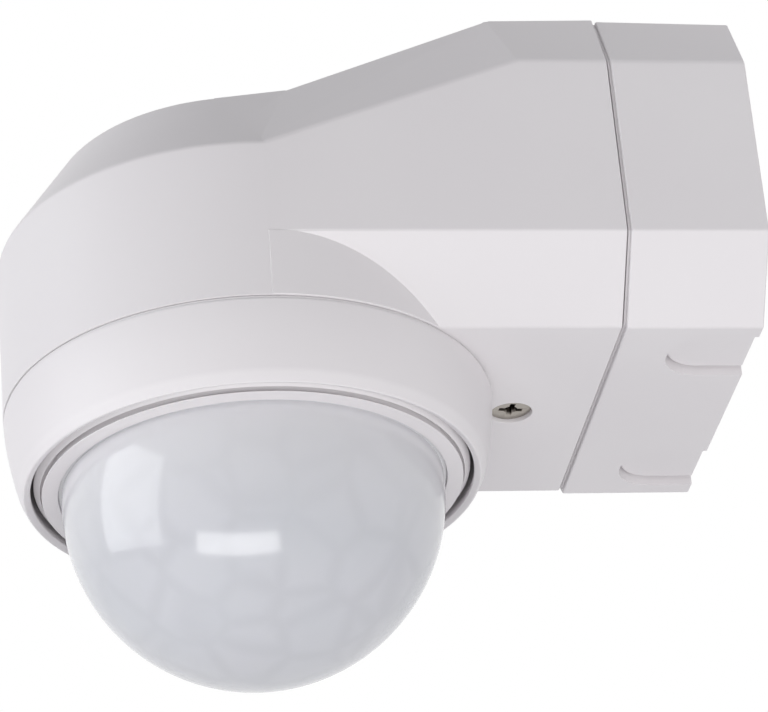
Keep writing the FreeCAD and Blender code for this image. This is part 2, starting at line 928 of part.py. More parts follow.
def can_frames():
    """Place and direction of each sensor can: three on the cone, one below."""
    run = holder_top_radius - holder_tip_radius
    middle_radius = (holder_top_radius + holder_tip_radius) / 2
    middle_height = sensor_board_low - holder_height / 2
    frames = []
    for angle in can_angles:
        outward = radial(angle) * holder_height - Vector(0, 0, run)
        frames.append((on_circle(middle_radius, angle, middle_height), outward.normalize()))
    frames.append((axis + Vector(0, 0, sensor_board_low - holder_height), Vector(0, 0, -1)))
    return frames


def sensor_can(window):
    """One sensor can with the hollow for its window, or just the window."""
    width, height, thickness = window_size
    corner = Vector(-width / 2, -height / 2, can_height - can_sink - thickness)
    pane = Part.makeBox(width, height, thickness, corner)
    if window:
        return pane
    flange = Part.makeCylinder(can_radius, can_sink, Vector(0, 0, -can_sink))
    cap = Part.makeCylinder(can_cap_radius, can_height - can_sink)
    return flange.fuse(cap).cut(pane).removeSplitter()


def pyro_sensors():
    """The four heat sensor cans."""
    return Part.makeCompound([aimed(sensor_can(False), place, out) for place, out in can_frames()])


def pyro_windows():
    """The dark filter window of each can."""
    return Part.makeCompound([aimed(sensor_can(True), place, out) for place, out in can_frames()])


def pyro_holder():
    """The cone that holds the cans at their angles."""
    low = sensor_board_low - holder_height
    cone = turned([
        (0, low),
        (holder_tip_radius, low),
        (holder_top_radius, sensor_board_low),
        (0, sensor_board_low),
    ])
    for place, out in can_frames():
        socket = Part.makeCylinder(can_radius + snug_gap, 2 * can_height, place - out * can_sink, out)
        cone = cone.cut(socket)
    return cone


def diode(angle):
    """A small domed diode that hangs under the sensor board."""
    place = on_circle(diode_circle, angle, sensor_board_low)
    stem = Part.makeCylinder(diode_radius, diode_height, place, Vector(0, 0, -1))
    tip = Part.makeSphere(diode_radius, place - Vector(0, 0, diode_height))
    return stem.fuse(tip).removeSplitter()


def sensor_chips():
    """The two flat packages under the sensor board."""
    chips = []
    for angle in sensor_chip_angles:
        place = on_circle(sensor_chip_circle, angle, 0)
        chips.append(
            standing_box(sensor_chip_size, (place.x, -place.y), sensor_board_low - sensor_chip_size[2])
        )
    return Part.makeCompound(chips)


def adjuster_body(angle):
    """One potentiometer body, with the bore for its knob's shaft."""
    inner = sensor_board_radius - adjuster_depth
    corner = Vector(-adjuster_height / 2, -adjuster_width / 2, 0)
    body = Part.makeBox(adjuster_height, adjuster_width, adjuster_depth, corner)
    bore = Part.makeCylinder(knob_shaft_radius + knob_shaft_gap, adjuster_depth + over)
    shape = body.cut(bore)
    turn = FreeCAD.Rotation(Vector(0, 0, 1), angle).multiply(FreeCAD.Rotation(Vector(0, 1, 0), 90))
    shape.Placement = FreeCAD.Placement(on_circle(inner, angle, knob_level), turn)
    return shape


def knob(angle):
    """One adjuster knob with its shaft, slotted from near the middle to one edge."""
    length = drum_radius - knob_end_inset - knob_start
    body = Part.makeCylinder(knob_radius, length)
    slot = Part.makeBox(
        2 * knob_radius,
        knob_slot_width,
        knob_slot_depth,
        Vector(-knob_radius / 2, -knob_slot_width / 2, length - knob_slot_depth),
    )
    shaft = Part.makeCylinder(knob_shaft_radius, knob_shaft_length, Vector(0, 0, -knob_shaft_length))
    shape = body.cut(slot).fuse(shaft).removeSplitter()
    turn = FreeCAD.Rotation(Vector(0, 0, 1), angle).multiply(FreeCAD.Rotation(Vector(0, 1, 0), 90))
    shape.Placement = FreeCAD.Placement(on_circle(knob_start, angle, knob_level), turn)
    return shape


def lead_plug():
    """The plug on the sensor board that the lead goes into."""
    size = (lead_plug_width, lead_plug_width, lead_plug_height)
    return standing_box(size, (0, head_reach), sensor_board_top)


def collar_bezel():
    """The sloping collar and flat bezel that close the drum round the lens."""
    seat = -bezel_depth + bezel_plate
    spigot_outer = drum_radius - drum_wall - snug_gap
    spigot_inner = spigot_outer - bezel_spigot_wall
    spigot_top = -drum_depth + bezel_spigot_height
    return turned([
        (drum_radius, -drum_depth),
        (bezel_face_radius, -bezel_depth),
        (bezel_bore_radius, -bezel_depth),
        (bezel_bore_radius, seat),
        (spigot_inner, seat),
        (spigot_inner, spigot_top),
        (spigot_outer, spigot_top),
        (spigot_outer, -drum_depth),
    ])


def lens_dome():
    """The milky lens: a flange, a short skirt and a half sphere."""
    y = -head_reach
    centre = -lens_centre_depth
    inner = lens_radius - lens_wall
    flange_low = -bezel_depth + bezel_plate + snug_gap
    flange_top = flange_low + lens_flange
    corners = [
        Vector(lens_radius, y, centre),
        Vector(lens_radius, y, flange_low),
        Vector(lens_flange_radius, y, flange_low),
        Vector(lens_flange_radius, y, flange_top),
        Vector(inner, y, flange_top),
        Vector(inner, y, centre),
    ]
    edges = [Part.makeLine(a, b) for a, b in zip(corners, corners[1:])]
    half = math.sqrt(0.5)
    for radius in (lens_radius, inner):
        side = Vector(radius, y, centre)
        middle = Vector(radius * half, y, centre - radius * half)
        edges.append(Part.Arc(side, middle, Vector(0, y, centre - radius)).toShape())
    edges.append(Part.makeLine(Vector(0, y, centre - lens_radius), Vector(0, y, centre - inner)))
    face = Part.Face(Part.Wire(Part.__sortEdges__(edges)))
    return face.revolve(axis, Vector(0, 0, 1), 360)


def lens_clamp_ring():
    """The ring that presses the lens flange onto the bezel."""
    low = -bezel_depth + bezel_plate + 2 * snug_gap + lens_flange
    return washer(lens_flange_radius, clamp_ring_radius, low, low + clamp_ring_height)


def save(node, shape):
    """Move a piece to the frame of the wall face and write it."""
    placed = shape.copy()
    placed.translate(Vector(0, 0, -box_height / 2))
    placed.exportStep("parts/" + node + ".step")
    solids = placed.Solids
    volume = sum(solid.Volume for solid in solids)
    print(node, len(solids), "solids", round(volume, 2), "mm3", placed.isValid())


# Wall box
save("wall_box", wall_box())
save("seam_gasket", seam_gasket())
save("cable_grommet", cable_grommet())
save("terminal_block", terminal_block())
save("terminal_clamps", clamps())
save("terminal_screws", Part.makeCompound([clamp_screw(x, 0) for x in pin_places()]))
save("block_screws", block_screws())

# Housing
save("housing_shell", housing_shell())
save("housing_screw", housing_screw())
save("square_nut", square_nut())
save("power_board", power_board())
save("board_screws", board_screws())
save("relay", standing_box(relay_size, on_board(relay_place), board_top))
save("film_capacitor", standing_box(film_size, on_board(film_place), board_top))
save("electrolytic_capacitor", electrolytic_capacitor())
save("fuse", fuse())
save("fuse_caps", fuse_caps())
save("varistor", varistor())
save("choke", choke())
save("choke_winding", choke_winding())
save("power_chips", power_chips())
save("plug_header", plug_header())
save("plug_pins", Part.makeCompound([plug_pin(x) for x in pin_places()]))
save("lead_socket", standing_box(lead_socket_size, (0, lead_socket_reach), board_top))
save("head_lead", head_lead())

# Trim ring
save("trim_ring", trim_ring())

# Sensor head
save("sensor_drum", sensor_drum())
save("hub_clip", hub_clip())
save("sensor_board", sensor_board())
save("sensor_board_screws", sensor_board_screws())
save("lead_plug", lead_plug())
save("pyro_holder", pyro_holder())
save("pyro_sensors", pyro_sensors())
save("pyro_windows", pyro_windows())
save("light_sensor", diode(light_sensor_angle))
save("status_led", diode(status_led_angle))
save("sensor_chips", sensor_chips())
save("adjuster_bodies", Part.makeCompound([adjuster_body(angle) for angle in adjuster_angles()]))
save("collar_bezel", collar_bezel())
save("lens_dome", lens_dome())
save("lens_clamp_ring", lens_clamp_ring())

# Adjuster knobs
for name, angle in zip(("time_knob", "lux_knob", "reach_knob"), adjuster_angles()):
    save(name, knob(angle))
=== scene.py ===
# %% [markdown]
# # A wall-mounted motion detector
#
# The construction model is loaded first and stays as it is. Every piece below is drawn
# in its place, in millimetres, and then moved into the frame's metres.

# %% Load the frame
import json
import math

import bmesh
import bpy
from mathutils import Matrix, Vector

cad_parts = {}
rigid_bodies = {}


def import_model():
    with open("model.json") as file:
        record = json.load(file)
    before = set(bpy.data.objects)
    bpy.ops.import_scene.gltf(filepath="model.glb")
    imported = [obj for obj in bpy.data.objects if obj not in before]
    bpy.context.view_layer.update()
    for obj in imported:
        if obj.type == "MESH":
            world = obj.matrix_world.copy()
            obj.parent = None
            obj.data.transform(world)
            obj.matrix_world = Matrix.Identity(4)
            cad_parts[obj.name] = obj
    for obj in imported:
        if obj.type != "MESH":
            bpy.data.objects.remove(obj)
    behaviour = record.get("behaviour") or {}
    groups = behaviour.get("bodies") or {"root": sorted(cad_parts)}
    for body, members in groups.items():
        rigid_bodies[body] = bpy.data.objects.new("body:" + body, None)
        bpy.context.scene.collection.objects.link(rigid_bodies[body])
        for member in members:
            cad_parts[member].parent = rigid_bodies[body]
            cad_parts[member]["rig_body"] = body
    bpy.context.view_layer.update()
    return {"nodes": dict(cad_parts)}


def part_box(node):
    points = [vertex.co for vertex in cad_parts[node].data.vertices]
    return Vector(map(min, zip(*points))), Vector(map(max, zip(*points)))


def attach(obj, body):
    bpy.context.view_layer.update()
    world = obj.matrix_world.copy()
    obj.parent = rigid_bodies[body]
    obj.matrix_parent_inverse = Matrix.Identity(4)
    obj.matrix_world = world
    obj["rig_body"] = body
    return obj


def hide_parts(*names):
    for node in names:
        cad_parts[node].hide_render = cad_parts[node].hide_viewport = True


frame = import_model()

print("CAD nodes:", len(frame["nodes"]))

# %% [markdown]
# ## The camera
#
# The photograph looks up at the detector from 28 degrees below the horizontal, almost
# square to its side, through a long lens. A long lens keeps parallel edges parallel, so
# the camera stands about 0.6 m away with a focal length of 163 mm.

# %% Camera
SENSOR, IMAGE_WIDTH, FOCAL_PIXELS = 36, 768, 3469.6
azimuth, elevation, roll = (math.radians(angle) for angle in (80.179, 28.318, -4.955))
toward_camera = Vector((
    math.sin(azimuth) * math.cos(elevation),
    -math.cos(azimuth) * math.cos(elevation),
    -math.sin(elevation),
))
level_right = Vector((math.cos(azimuth), math.sin(azimuth), 0))
level_up = toward_camera.cross(level_right)
camera_right = math.cos(roll) * level_right + math.sin(roll) * level_up
camera_up = -math.sin(roll) * level_right + math.cos(roll) * level_up
camera_place = Vector((0.500449, -0.143347, -0.290209))


def placed(place, right, up, back):
    """The matrix that puts an object at a place, turned to three axes."""
    return Matrix.Translation(place) @ Matrix((right, up, back)).transposed().to_4x4()


camera_data = bpy.data.cameras.new("camera")
camera_data.sensor_width = SENSOR
camera_data.lens = FOCAL_PIXELS / IMAGE_WIDTH * SENSOR
camera_data.clip_start, camera_data.clip_end = 0.01, 30
camera = bpy.data.objects.new("camera", camera_data)
camera.matrix_world = placed(camera_place, camera_right, camera_up, toward_camera)
bpy.context.scene.collection.objects.link(camera)
bpy.context.scene.camera = camera
print("lens:", round(camera_data.lens, 1), "mm")

# %% [markdown]
# ## Light
#
# White plastic only shows its form where the light falls off. Two soft panels do the work:
# a large one on the left, like a studio window, and a long low one by the camera. Both show
# in the glossy dome, as a window shape and as a bar, so their sizes and places were worked
# out from those two reflections. A weaker fill lights the left side, a reflector low on the
# right opens up the underside, and a small panel by the wall gives back what a white wall
# would. The dome in the photograph shows no shape of these three, so they are kept out of
# reflections.

# %% Light panels
look_at = Vector((0, -0.065, 0))


def light_panel(name, direction, distance, width, height, power, colour=(1, 1, 1)):
    """A soft panel, placed by its direction in the camera's own right, up and back."""
    data = bpy.data.lights.new(name, "AREA")
    data.shape = "RECTANGLE"
    data.size, data.size_y, data.energy, data.color = width, height, power, colour
    panel = bpy.data.objects.new(name, data)
    way = direction[0] * camera_right + direction[1] * camera_up + direction[2] * toward_camera
    way.normalize()
    upright = (camera_up - way * camera_up.dot(way)).normalized()
    panel.matrix_world = placed(look_at + way * distance, upright.cross(way), upright, way)
    panel.visible_camera = False
    bpy.context.scene.collection.objects.link(panel)
    return panel


light_panel("window_panel", (-0.97, 0.0, 0.24), 1.0, 0.80, 0.84, 5.0, (0.95, 0.975, 1))
light_panel("low_panel", (-0.13, -0.411, 0.90), 1.1, 0.92, 0.24, 3.4)
# Name, direction, distance and width in metres, power in watts.
for name, direction, distance, width, power in (
    ("left_fill", (-0.9, -0.1, 0.42), 1.0, 0.8, 1.6),
    ("reflector", (0.6, -0.27, 0.75), 1.3, 1.0, 7.8),
    ("wall_bounce", (0.638, 0.766, -0.127), 0.146, 0.1, 0.022),
):
    light_panel(name, direction, distance, width, width, power).visible_glossy = False

# %% [markdown]
# ## Colours and nodes
#
# Colours are written as sRGB hex, as a paint chart gives them, and shaders need linear
# numbers. One function does that, and one adds a node. A node that is given as an input is
# linked by its first output in use. Every material is wired with these two.

# %% Colours and nodes


def linear(hex_colour):
    """A colour written as sRGB hex, as the linear numbers that shaders use."""
    parts = [int(hex_colour[i:i + 2], 16) / 255 for i in (1, 3, 5)]
    return [c / 12.92 if c <= 0.04045 else ((c + 0.055) / 1.055) ** 2.4 for c in parts] + [1]


def add(tree, kind, inputs=None, **settings):
    """Adds one node with its settings; inputs are values, hex colours, nodes or sockets."""
    node = tree.nodes.new("ShaderNode" + kind)
    for name, value in settings.items():
        setattr(node, name, value)
    for name, value in (inputs or {}).items():
        socket = next(s for i, s in enumerate(node.inputs) if s.enabled and name in (i, s.name))
        if isinstance(value, bpy.types.Node):
            value = next(s for s in value.outputs if s.enabled)
        if isinstance(value, bpy.types.NodeSocket):
            tree.links.new(value, socket)
        else:
            socket.default_value = linear(value) if isinstance(value, str) else value
    return node


def start_material(name):
    """An empty node material, its tree and the Object coordinates, which are in metres."""
    material = bpy.data.materials.new(name)
    material.use_nodes = True
    tree = material.node_tree
    tree.nodes.clear()
    return material, tree, add(tree, "TexCoord").outputs["Object"]


def per_mm(size):
    """The texture scale that makes one feature this many millimetres wide."""
    return 1000 / size


print("linear mid grey:", [round(c, 3) for c in linear("#808080")])

# %% [markdown]
# ## Background and floor
#
# The photograph's background is pure white. A white wall bright enough to look white would
# flood the object with light, so the world is white only to the camera, in reflections and
# through glass, and a plain grey to everything else. The floor does the same, well below.

# %% Background and floor


def white_to_eye(tree, plain, white):
    """A shader that is white to camera, mirror and clear rays, and plain to the rest."""
    ray = add(tree, "LightPath").outputs
    seen = ray["Is Camera Ray"]
    for kind in ("Is Glossy Ray", "Is Transmission Ray"):
        seen = add(tree, "Math", {0: seen, 1: ray[kind]}, operation="MAXIMUM")
    return add(tree, "MixShader", {0: seen, 1: plain, 2: white})


def new_object(bm, name):
    """A mesh object from a bmesh, linked to the scene."""
    mesh = bpy.data.meshes.new(name)
    bm.to_mesh(mesh)
    bm.free()
    made = bpy.data.objects.new(name, mesh)
    bpy.context.scene.collection.objects.link(made)
    return made


world = bpy.data.worlds.new("white_tent")
world.use_nodes = True
tree = world.node_tree
tree.nodes.clear()
fill = add(tree, "Background", {"Color": "#F0F0F4", "Strength": 0.39})
white = add(tree, "Background", {"Color": "#FFFFFF", "Strength": 1.0})
add(tree, "OutputWorld", {"Surface": white_to_eye(tree, fill, white)})
bpy.context.scene.world = world
bpy.context.scene.view_settings.view_transform = "Standard"

FLOOR_LEVEL, FLOOR_HALF = -1.3, 6
bm = bmesh.new()
down = Matrix.Translation((0, 0, FLOOR_LEVEL))
bmesh.ops.create_grid(bm, x_segments=1, y_segments=1, size=FLOOR_HALF, matrix=down)
floor = new_object(bm, "floor")
floor_material, tree, place = start_material("pale_studio_floor")
paper = add(tree, "TexNoise", {"Vector": place, "Scale": 3.0, "Detail": 1.0})
tone = add(tree, "Mix", {"Factor": paper, "A": "#E2E2E5", "B": "#E6E6E8"}, data_type="RGBA")
plain = add(tree, "BsdfPrincipled", {"Base Color": tone, "Roughness": 0.8})
glow = add(tree, "Emission", {"Color": "#FFFFFF", "Strength": 1.0})
add(tree, "OutputMaterial", {"Surface": white_to_eye(tree, plain, glow)})
floor.data.materials.append(floor_material)
print("floor at", FLOOR_LEVEL, "m")

# %% [markdown]
# ## Moulded plastic
#
# The housing, wall box, ring and bezel are injection-moulded ASA, a nearly neutral
# off-white. The mould is spark-eroded, so the plastic comes out with a fine matt grain of
# about 0.1 mm. That is finer than a pixel here, so it is drawn as 0.45 mm grains, which the
# eye reads as the same soft sheen. A slow drift of tone stands for uneven cooling.

# %% Moulded plastic
white_plastic, tree, place = start_material("moulded_asa_off_white")
grain = add(tree, "TexNoise", {
    "Vector": place, "Scale": per_mm(0.45), "Detail": 2.0, "Roughness": 0.6,
})
drift = add(tree, "TexNoise", {"Vector": place, "Scale": per_mm(26), "Detail": 1.0})
tone = add(tree, "Mix", {"Factor": drift, "A": "#DDD9DB", "B": "#E1DEDF"}, data_type="RGBA")
gloss = add(tree, "MapRange", {"Value": grain, "To Min": 0.40, "To Max": 0.54})
bump = add(tree, "Bump", {"Height": grain, "Strength": 0.12, "Distance": 0.00006})
shader = add(tree, "BsdfPrincipled", {
    "Base Color": tone, "Roughness": gloss, "IOR": 1.52, "Normal": bump,
})
add(tree, "OutputMaterial", {"Surface": shader})
print("material:", white_plastic.name)

# %% [markdown]
# ## Milky lens plastic
#
# The dome is high-density polyethylene, about 1 mm thick: the one cheap plastic that lets
# body heat through. Light scatters inside it, so it looks milky and bluish, and it is
# polished outside. Dozens of small lenses are moulded on its inner face, each about 9 mm
# across. From outside they only show as faint cells, a few levels darker along their
# edges, which a Voronoi pattern gives. Toward the rim the tone rises: painted light, where
# the dome looks brighter near the bezel. Subsurface light gives the milkiness.

# %% Milky lens plastic
HALF_HEIGHT = 27.45
milky, tree, place = start_material("milky_polyethylene")
cells = add(tree, "TexVoronoi", {
    "Vector": place, "Scale": per_mm(9.5), "Randomness": 0.55,
}, feature="DISTANCE_TO_EDGE")
seams = add(tree, "MapRange", {"Value": cells, "From Max": 0.22}, interpolation_type="SMOOTHSTEP")
haze = add(tree, "TexNoise", {"Vector": place, "Scale": per_mm(14), "Detail": 1.0})
base = add(tree, "Mix", {"Factor": seams, "A": "#C2C2C7", "B": "#CACACF"}, data_type="RGBA")
tone = add(tree, "Mix", {"Factor": haze, "A": base, "B": "#C5C7CC"}, data_type="RGBA")
# Painted light: the tone is lightened toward the rim, by height.
height = add(tree, "SeparateXYZ", {0: place})
low, high = ((level - HALF_HEIGHT) / 1000 for level in (-32, -16))
rim_painted_light = add(tree, "MapRange", {
    "Value": height.outputs["Z"], "From Min": low, "From Max": high, "To Max": 0.8,
})
tone = add(tree, "Mix", {"Factor": rim_painted_light, "A": tone, "B": "#DDDCDF"}, data_type="RGBA")
shader = add(tree, "BsdfPrincipled", {
    "Base Color": tone, "Roughness": 0.12, "IOR": 1.54,
    "Subsurface Weight": 0.35, "Subsurface Radius": (1.0, 1.0, 1.1), "Subsurface Scale": 0.002,
})
add(tree, "OutputMaterial", {"Surface": shader})
print("material:", milky.name)

# %% [markdown]
# ## Nickel-plated steel
#
# The screws are steel with a thin nickel plating, a warm grey. The heads are cold-formed
# and tumbled, so they shine softly and have fine scratches in all directions. The scratches
# are about 0.05 mm wide; they are drawn 0.25 mm wide, so that they show at all.

# %% Nickel-plated steel
plated_steel, tree, place = start_material("nickel_plated_steel")
wide = add(tree, "Mapping", {"Vector": place, "Rotation": (0.3, 0.2, 0.7), "Scale": (1, 7, 1)})
scratches = add(tree, "TexNoise", {"Vector": wide, "Scale": per_mm(1.7), "Detail": 3.0})
stain = add(tree, "TexNoise", {"Vector": place, "Scale": per_mm(2.5), "Detail": 2.0})
tone = add(tree, "Mix", {"Factor": stain, "A": "#AAA49C", "B": "#C6C2BB"}, data_type="RGBA")
gloss = add(tree, "MapRange", {"Value": scratches, "To Min": 0.24, "To Max": 0.44})
bump = add(tree, "Bump", {"Height": scratches, "Strength": 0.2, "Distance": 0.00003})
shader = add(tree, "BsdfPrincipled", {
    "Base Color": tone, "Metallic": 1.0, "Roughness": gloss, "Normal": bump,
})
add(tree, "OutputMaterial", {"Surface": shader})
print("material:", plated_steel.name)

# %% [markdown]
# ## From a drawing in millimetres to a piece
#
# Heights are drawn from the housing's flat underside, as on the construction drawing, with
# the wall at y = 0 and the head's axis at y = -80. The last step of each piece scales it to
# metres and lowers it by half the box's height. Openings are cut and ribs are joined with
# exact booleans, as in a machine shop, and then the sharp rims that they leave are rounded.

# %% Placing and joining
HEAD = Vector((0, -80, 0))
TO_FRAME = Matrix.Scale(0.001, 4) @ Matrix.Translation((0, 0, -HALF_HEIGHT))
MERGE = 1e-4  # mm
FOLD = 0.35  # radians: an edge folded by more counts as sharp


def to_object(bm, name):
    """A mesh object from a drawing, with its normals outwards."""
    bmesh.ops.remove_doubles(bm, verts=bm.verts, dist=MERGE)
    bmesh.ops.recalc_face_normals(bm, faces=bm.faces)
    return new_object(bm, name)


def cut(base, tool, operation="DIFFERENCE"):
    """Cuts the tool out of the base with an exact boolean, and removes the tool."""
    modifier = base.modifiers.new("combine", "BOOLEAN")
    modifier.operation, modifier.object, modifier.solver = operation, tool, "EXACT"
    bpy.context.view_layer.update()
    graph = bpy.context.evaluated_depsgraph_get()
    done = bpy.data.meshes.new_from_object(base.evaluated_get(graph))
    base.modifiers.clear()
    base.data = done
    bpy.data.objects.remove(tool)


def join(base, tool):
    """Joins the tool to the base in the same way."""
    cut(base, tool, "UNION")


def round_off(bm, edges, offset, segments):
    """Rounds edges, by less where two roundings would meet."""
    bmesh.ops.bevel(
        bm, geom=edges, offset=offset, offset_type="OFFSET", segments=segments, profile=0.5,
        affect="EDGES", material=-1, clamp_overlap=True,
    )


def middle(edge):
    """The middle point of an edge."""
    return (edge.verts[0].co + edge.verts[1].co) / 2


def soften(drawn, chosen, offset, segments=3):
    """Rounds the sharp edges of a drawing that the test chooses by their middle."""
    bm = bmesh.new()
    bm.from_mesh(drawn.data)
    bmesh.ops.remove_doubles(bm, verts=bm.verts, dist=MERGE)
    sharp = [e for e in bm.edges if len(e.link_faces) == 2 and e.calc_face_angle(0) > FOLD]
    edges = [e for e in sharp if chosen(middle(e))]
    round_off(bm, edges, offset, segments)
    bm.to_mesh(drawn.data)
    bm.free()
    print(drawn.name, "softened", len(edges), "edges")


def settle(piece, body, material, node):
    """Shades a piece, gives it its finish, ties it to its body and hides the node it stands in
    for.
    """
    mesh = piece.data
    mesh.materials.clear()
    mesh.materials.append(material)
    mesh.shade_smooth()
    mesh.set_sharp_from_angle(angle=math.radians(32))
    piece.modifiers.new("even_shading", "WEIGHTED_NORMAL").keep_sharp = True
    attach(piece, body)
    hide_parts(node)
    print(f"{piece.name}: {len(mesh.polygons)} faces of {material.name}")


def finish_piece(drawn, body, material, node):
    """Puts a drawing into the frame as a piece that rides on a body."""
    drawn.data.transform(TO_FRAME)
    settle(drawn, body, material, node)


# %% [markdown]
# ## Simple tools
#
# A profile spun about an axis gives everything round. Bars and posts are only used to join
# or cut, so they are plain, apart from small roundings on the tongue that the screw clamps.

# %% Turned forms, posts and bars


def turned(profile, name, steps=144, rounding=None, closed=True, centre=HEAD):
    """Spins a profile of (radius, height) about an upright axis, its listed corners rounded."""
    bm = bmesh.new()
    corners = [bm.verts.new((centre.x + r, centre.y, z)) for r, z in profile]
    for a, b in zip(corners, corners[1:]):
        bm.edges.new((a, b))
    if closed:
        bm.edges.new((corners[-1], corners[0]))
    for index, radius in (rounding or {}).items():
        bmesh.ops.bevel(
            bm, geom=[corners[index]], offset=radius, offset_type="OFFSET", segments=4,
            profile=0.5, affect="VERTICES", material=-1,
        )
    bmesh.ops.spin(
        bm, geom=bm.verts[:] + bm.edges[:], cent=centre, axis=(0, 0, 1),
        angle=math.tau, steps=steps, use_merge=True,
    )
    return to_object(bm, name)


def rod(radius, top, length, place, name, steps):
    """A round bar or cone, placed by its middle, from a base radius to a top radius."""
    bm = bmesh.new()
    bmesh.ops.create_cone(
        bm, cap_ends=True, segments=steps, radius1=radius, radius2=top, depth=length, matrix=place,
    )
    return to_object(bm, name)


def post(radius, low, high, x, y, name, steps=32, top=None):
    """An upright round post or hole, or a cone where its top radius differs."""
    place = Matrix.Translation((x, y, (low + high) / 2))
    return rod(radius, radius if top is None else top, high - low, place, name, steps)


def peg(radius, rear, front, x, z, name, steps=32):
    """A round peg or hole that lies along y."""
    lying = Matrix.Rotation(math.radians(90), 4, "X")
    place = Matrix.Translation((x, (rear + front) / 2, z)) @ lying
    return rod(radius, radius, rear - front, place, name, steps)


def bar(low, high, name, soft=0):
    """A square bar between two corners, to be joined or cut."""
    bm = bmesh.new()
    low, high = Vector(low), Vector(high)
    size = Matrix.Diagonal((*(high - low), 1))
    bmesh.ops.create_cube(bm, size=1, matrix=Matrix.Translation((low + high) / 2) @ size)
    if soft:
        round_off(bm, bm.edges[:], soft, 2)
    return to_object(bm, name)


# %% [markdown]
# ## The eight-sided bar
#
# The wall box and the housing share one section with eight sides. It is cut from a block
# plane by plane, as a joiner would plane a beam, and then its long edges are rounded. In
# the mould the shoulders have the largest radius and the edges near the underside smaller
# ones, so the radius follows the edge's height. The faint crease down the roof's side gets
# no rounding: its shading runs smoothly across, so that no line shows there, as on the real
# moulding.

# %% Planes of the section
CHAMFER_TOP, CHEEK, BROW, EAVES, RIDGE = 11.5, 27.5, 42.5, 43.2, 54.9
FOOT_HALF, HEAD_RADIUS, BROW_RADIUS, LEAN = 29.1, 40, 30.22, 0.008


def half_width(height):
    """Half the width between the side walls, which lean out as they rise."""
    return HEAD_RADIUS + LEAN * height


def both_sides(point, normal):
    """A plane, given by a point and its outward normal, and its mirror across the middle."""
    (x, *point), (across, *normal) = point, normal
    return [(Vector((s * x, *point)), Vector((s * across, *normal))) for s in (1, -1)]


underside = (Vector((0, 0, 0)), Vector((0, 0, -1)))
chamfers = both_sides((FOOT_HALF, 0, 0), (CHAMFER_TOP, 0, FOOT_HALF - half_width(CHAMFER_TOP)))
walls = both_sides((half_width(0) - 0.03, 0, 0), (1, 0, -LEAN))
section = [underside, *chamfers, *walls]
box_roof = both_sides((half_width(EAVES), 0, EAVES), (RIDGE - EAVES, 0, 6.5))
box_roof.append((Vector((0, 0, RIDGE)), Vector((0, 0.6, 23.2))))

ridge = Vector((half_width(EAVES) - 6.15, -41, RIDGE))
heel = Vector((half_width(EAVES), -37.7, EAVES))
cheek = Vector((half_width(CHEEK), HEAD.y, CHEEK))
brow = cheek + Vector((-10, 0, 15))
roof_slope = math.tan(math.radians(19.85))
upper_facet = (brow - ridge).cross(cheek - ridge)
roof = [(ridge, Vector((0, -0.6, 17.8))), (ridge, Vector((0, -roof_slope, 1)))]
for facet in (Vector((RIDGE - EAVES, 0, 6.15)), (cheek - ridge).cross(heel - ridge), upper_facet):
    roof += both_sides(ridge, facet)
print("planes:", len(section), "of the section,", len(roof), "of the roof")

# %% Planing a bar
SOFTNESS = [(3, 0.35), (20, 0.25), (48, 0.6), (90, 0.3)]
BLOCK = 200


def split(bm, point, normal, clear=False):
    """Splits a drawing along a plane and, where asked, clears what lies outside."""
    bmesh.ops.bisect_plane(
        bm, geom=bm.verts[:] + bm.edges[:] + bm.faces[:], dist=0.002,
        plane_co=point, plane_no=normal, clear_outer=clear,
    )


def planed(rear, front, planes, name, inset=0, softness=(), rear_soft=0, front_soft=0):
    """A bar along y, planed to its planes, with its long edges and its end outlines rounded."""
    bm = bmesh.new()
    size = Matrix.Diagonal((BLOCK, rear - front, BLOCK, 1))
    bmesh.ops.create_cube(bm, size=1, matrix=Matrix.Translation((0, (rear + front) / 2, 0)) @ size)
    for point, normal in planes:
        outward = normal.normalized()
        split(bm, point - outward * inset, outward, clear=True)
        bmesh.ops.holes_fill(bm, edges=[e for e in bm.edges if e.is_boundary], sides=0)
    bmesh.ops.remove_doubles(bm, verts=bm.verts, dist=0.003)
    bmesh.ops.recalc_face_normals(bm, faces=bm.faces)

    def at_end(edge, y):
        return all(abs(v.co.y - y) < 0.01 for v in edge.verts)

    def creased(edge):
        """Sharp, or slight but short: the roof's long slight crease is left out."""
        angle = edge.calc_face_angle(0)
        return angle > 0.3 or angle > 0.1 and edge.calc_length() < 40

    lower = -BLOCK
    for upper, radius in softness:
        long_edges = [
            e for e in bm.edges
            if not at_end(e, rear) and not at_end(e, front) and creased(e)
            and lower < middle(e).z <= upper
        ]
        round_off(bm, long_edges, radius, 4)
        lower = upper
    for y, radius in ((rear, rear_soft), (front, front_soft)):
        if radius:
            round_off(bm, [e for e in bm.edges if at_end(e, y)], radius, 3)
    return to_object(bm, name)


print("roundings by height:", SOFTNESS)

# %% [markdown]
# ## Housing shell
#
# The cover is one moulding: a bridge of the eight-sided section whose roof slopes down into
# a round head. The head is turned and joined to the planed bar. A hull of eight points
# blends the roof's facets into the cone of the head, as the mould maker's file would, so
# no hard valley is left. Behind the mould's parting line the head's foot is 0.1 mm fuller,
# which leaves the fine step that shows on its side.

# %% Head and roof
housing = planed(
    -23.0, HEAD.y, section + roof, "housing_cover", softness=SOFTNESS, rear_soft=0.28,
)
PARTING = -80.1


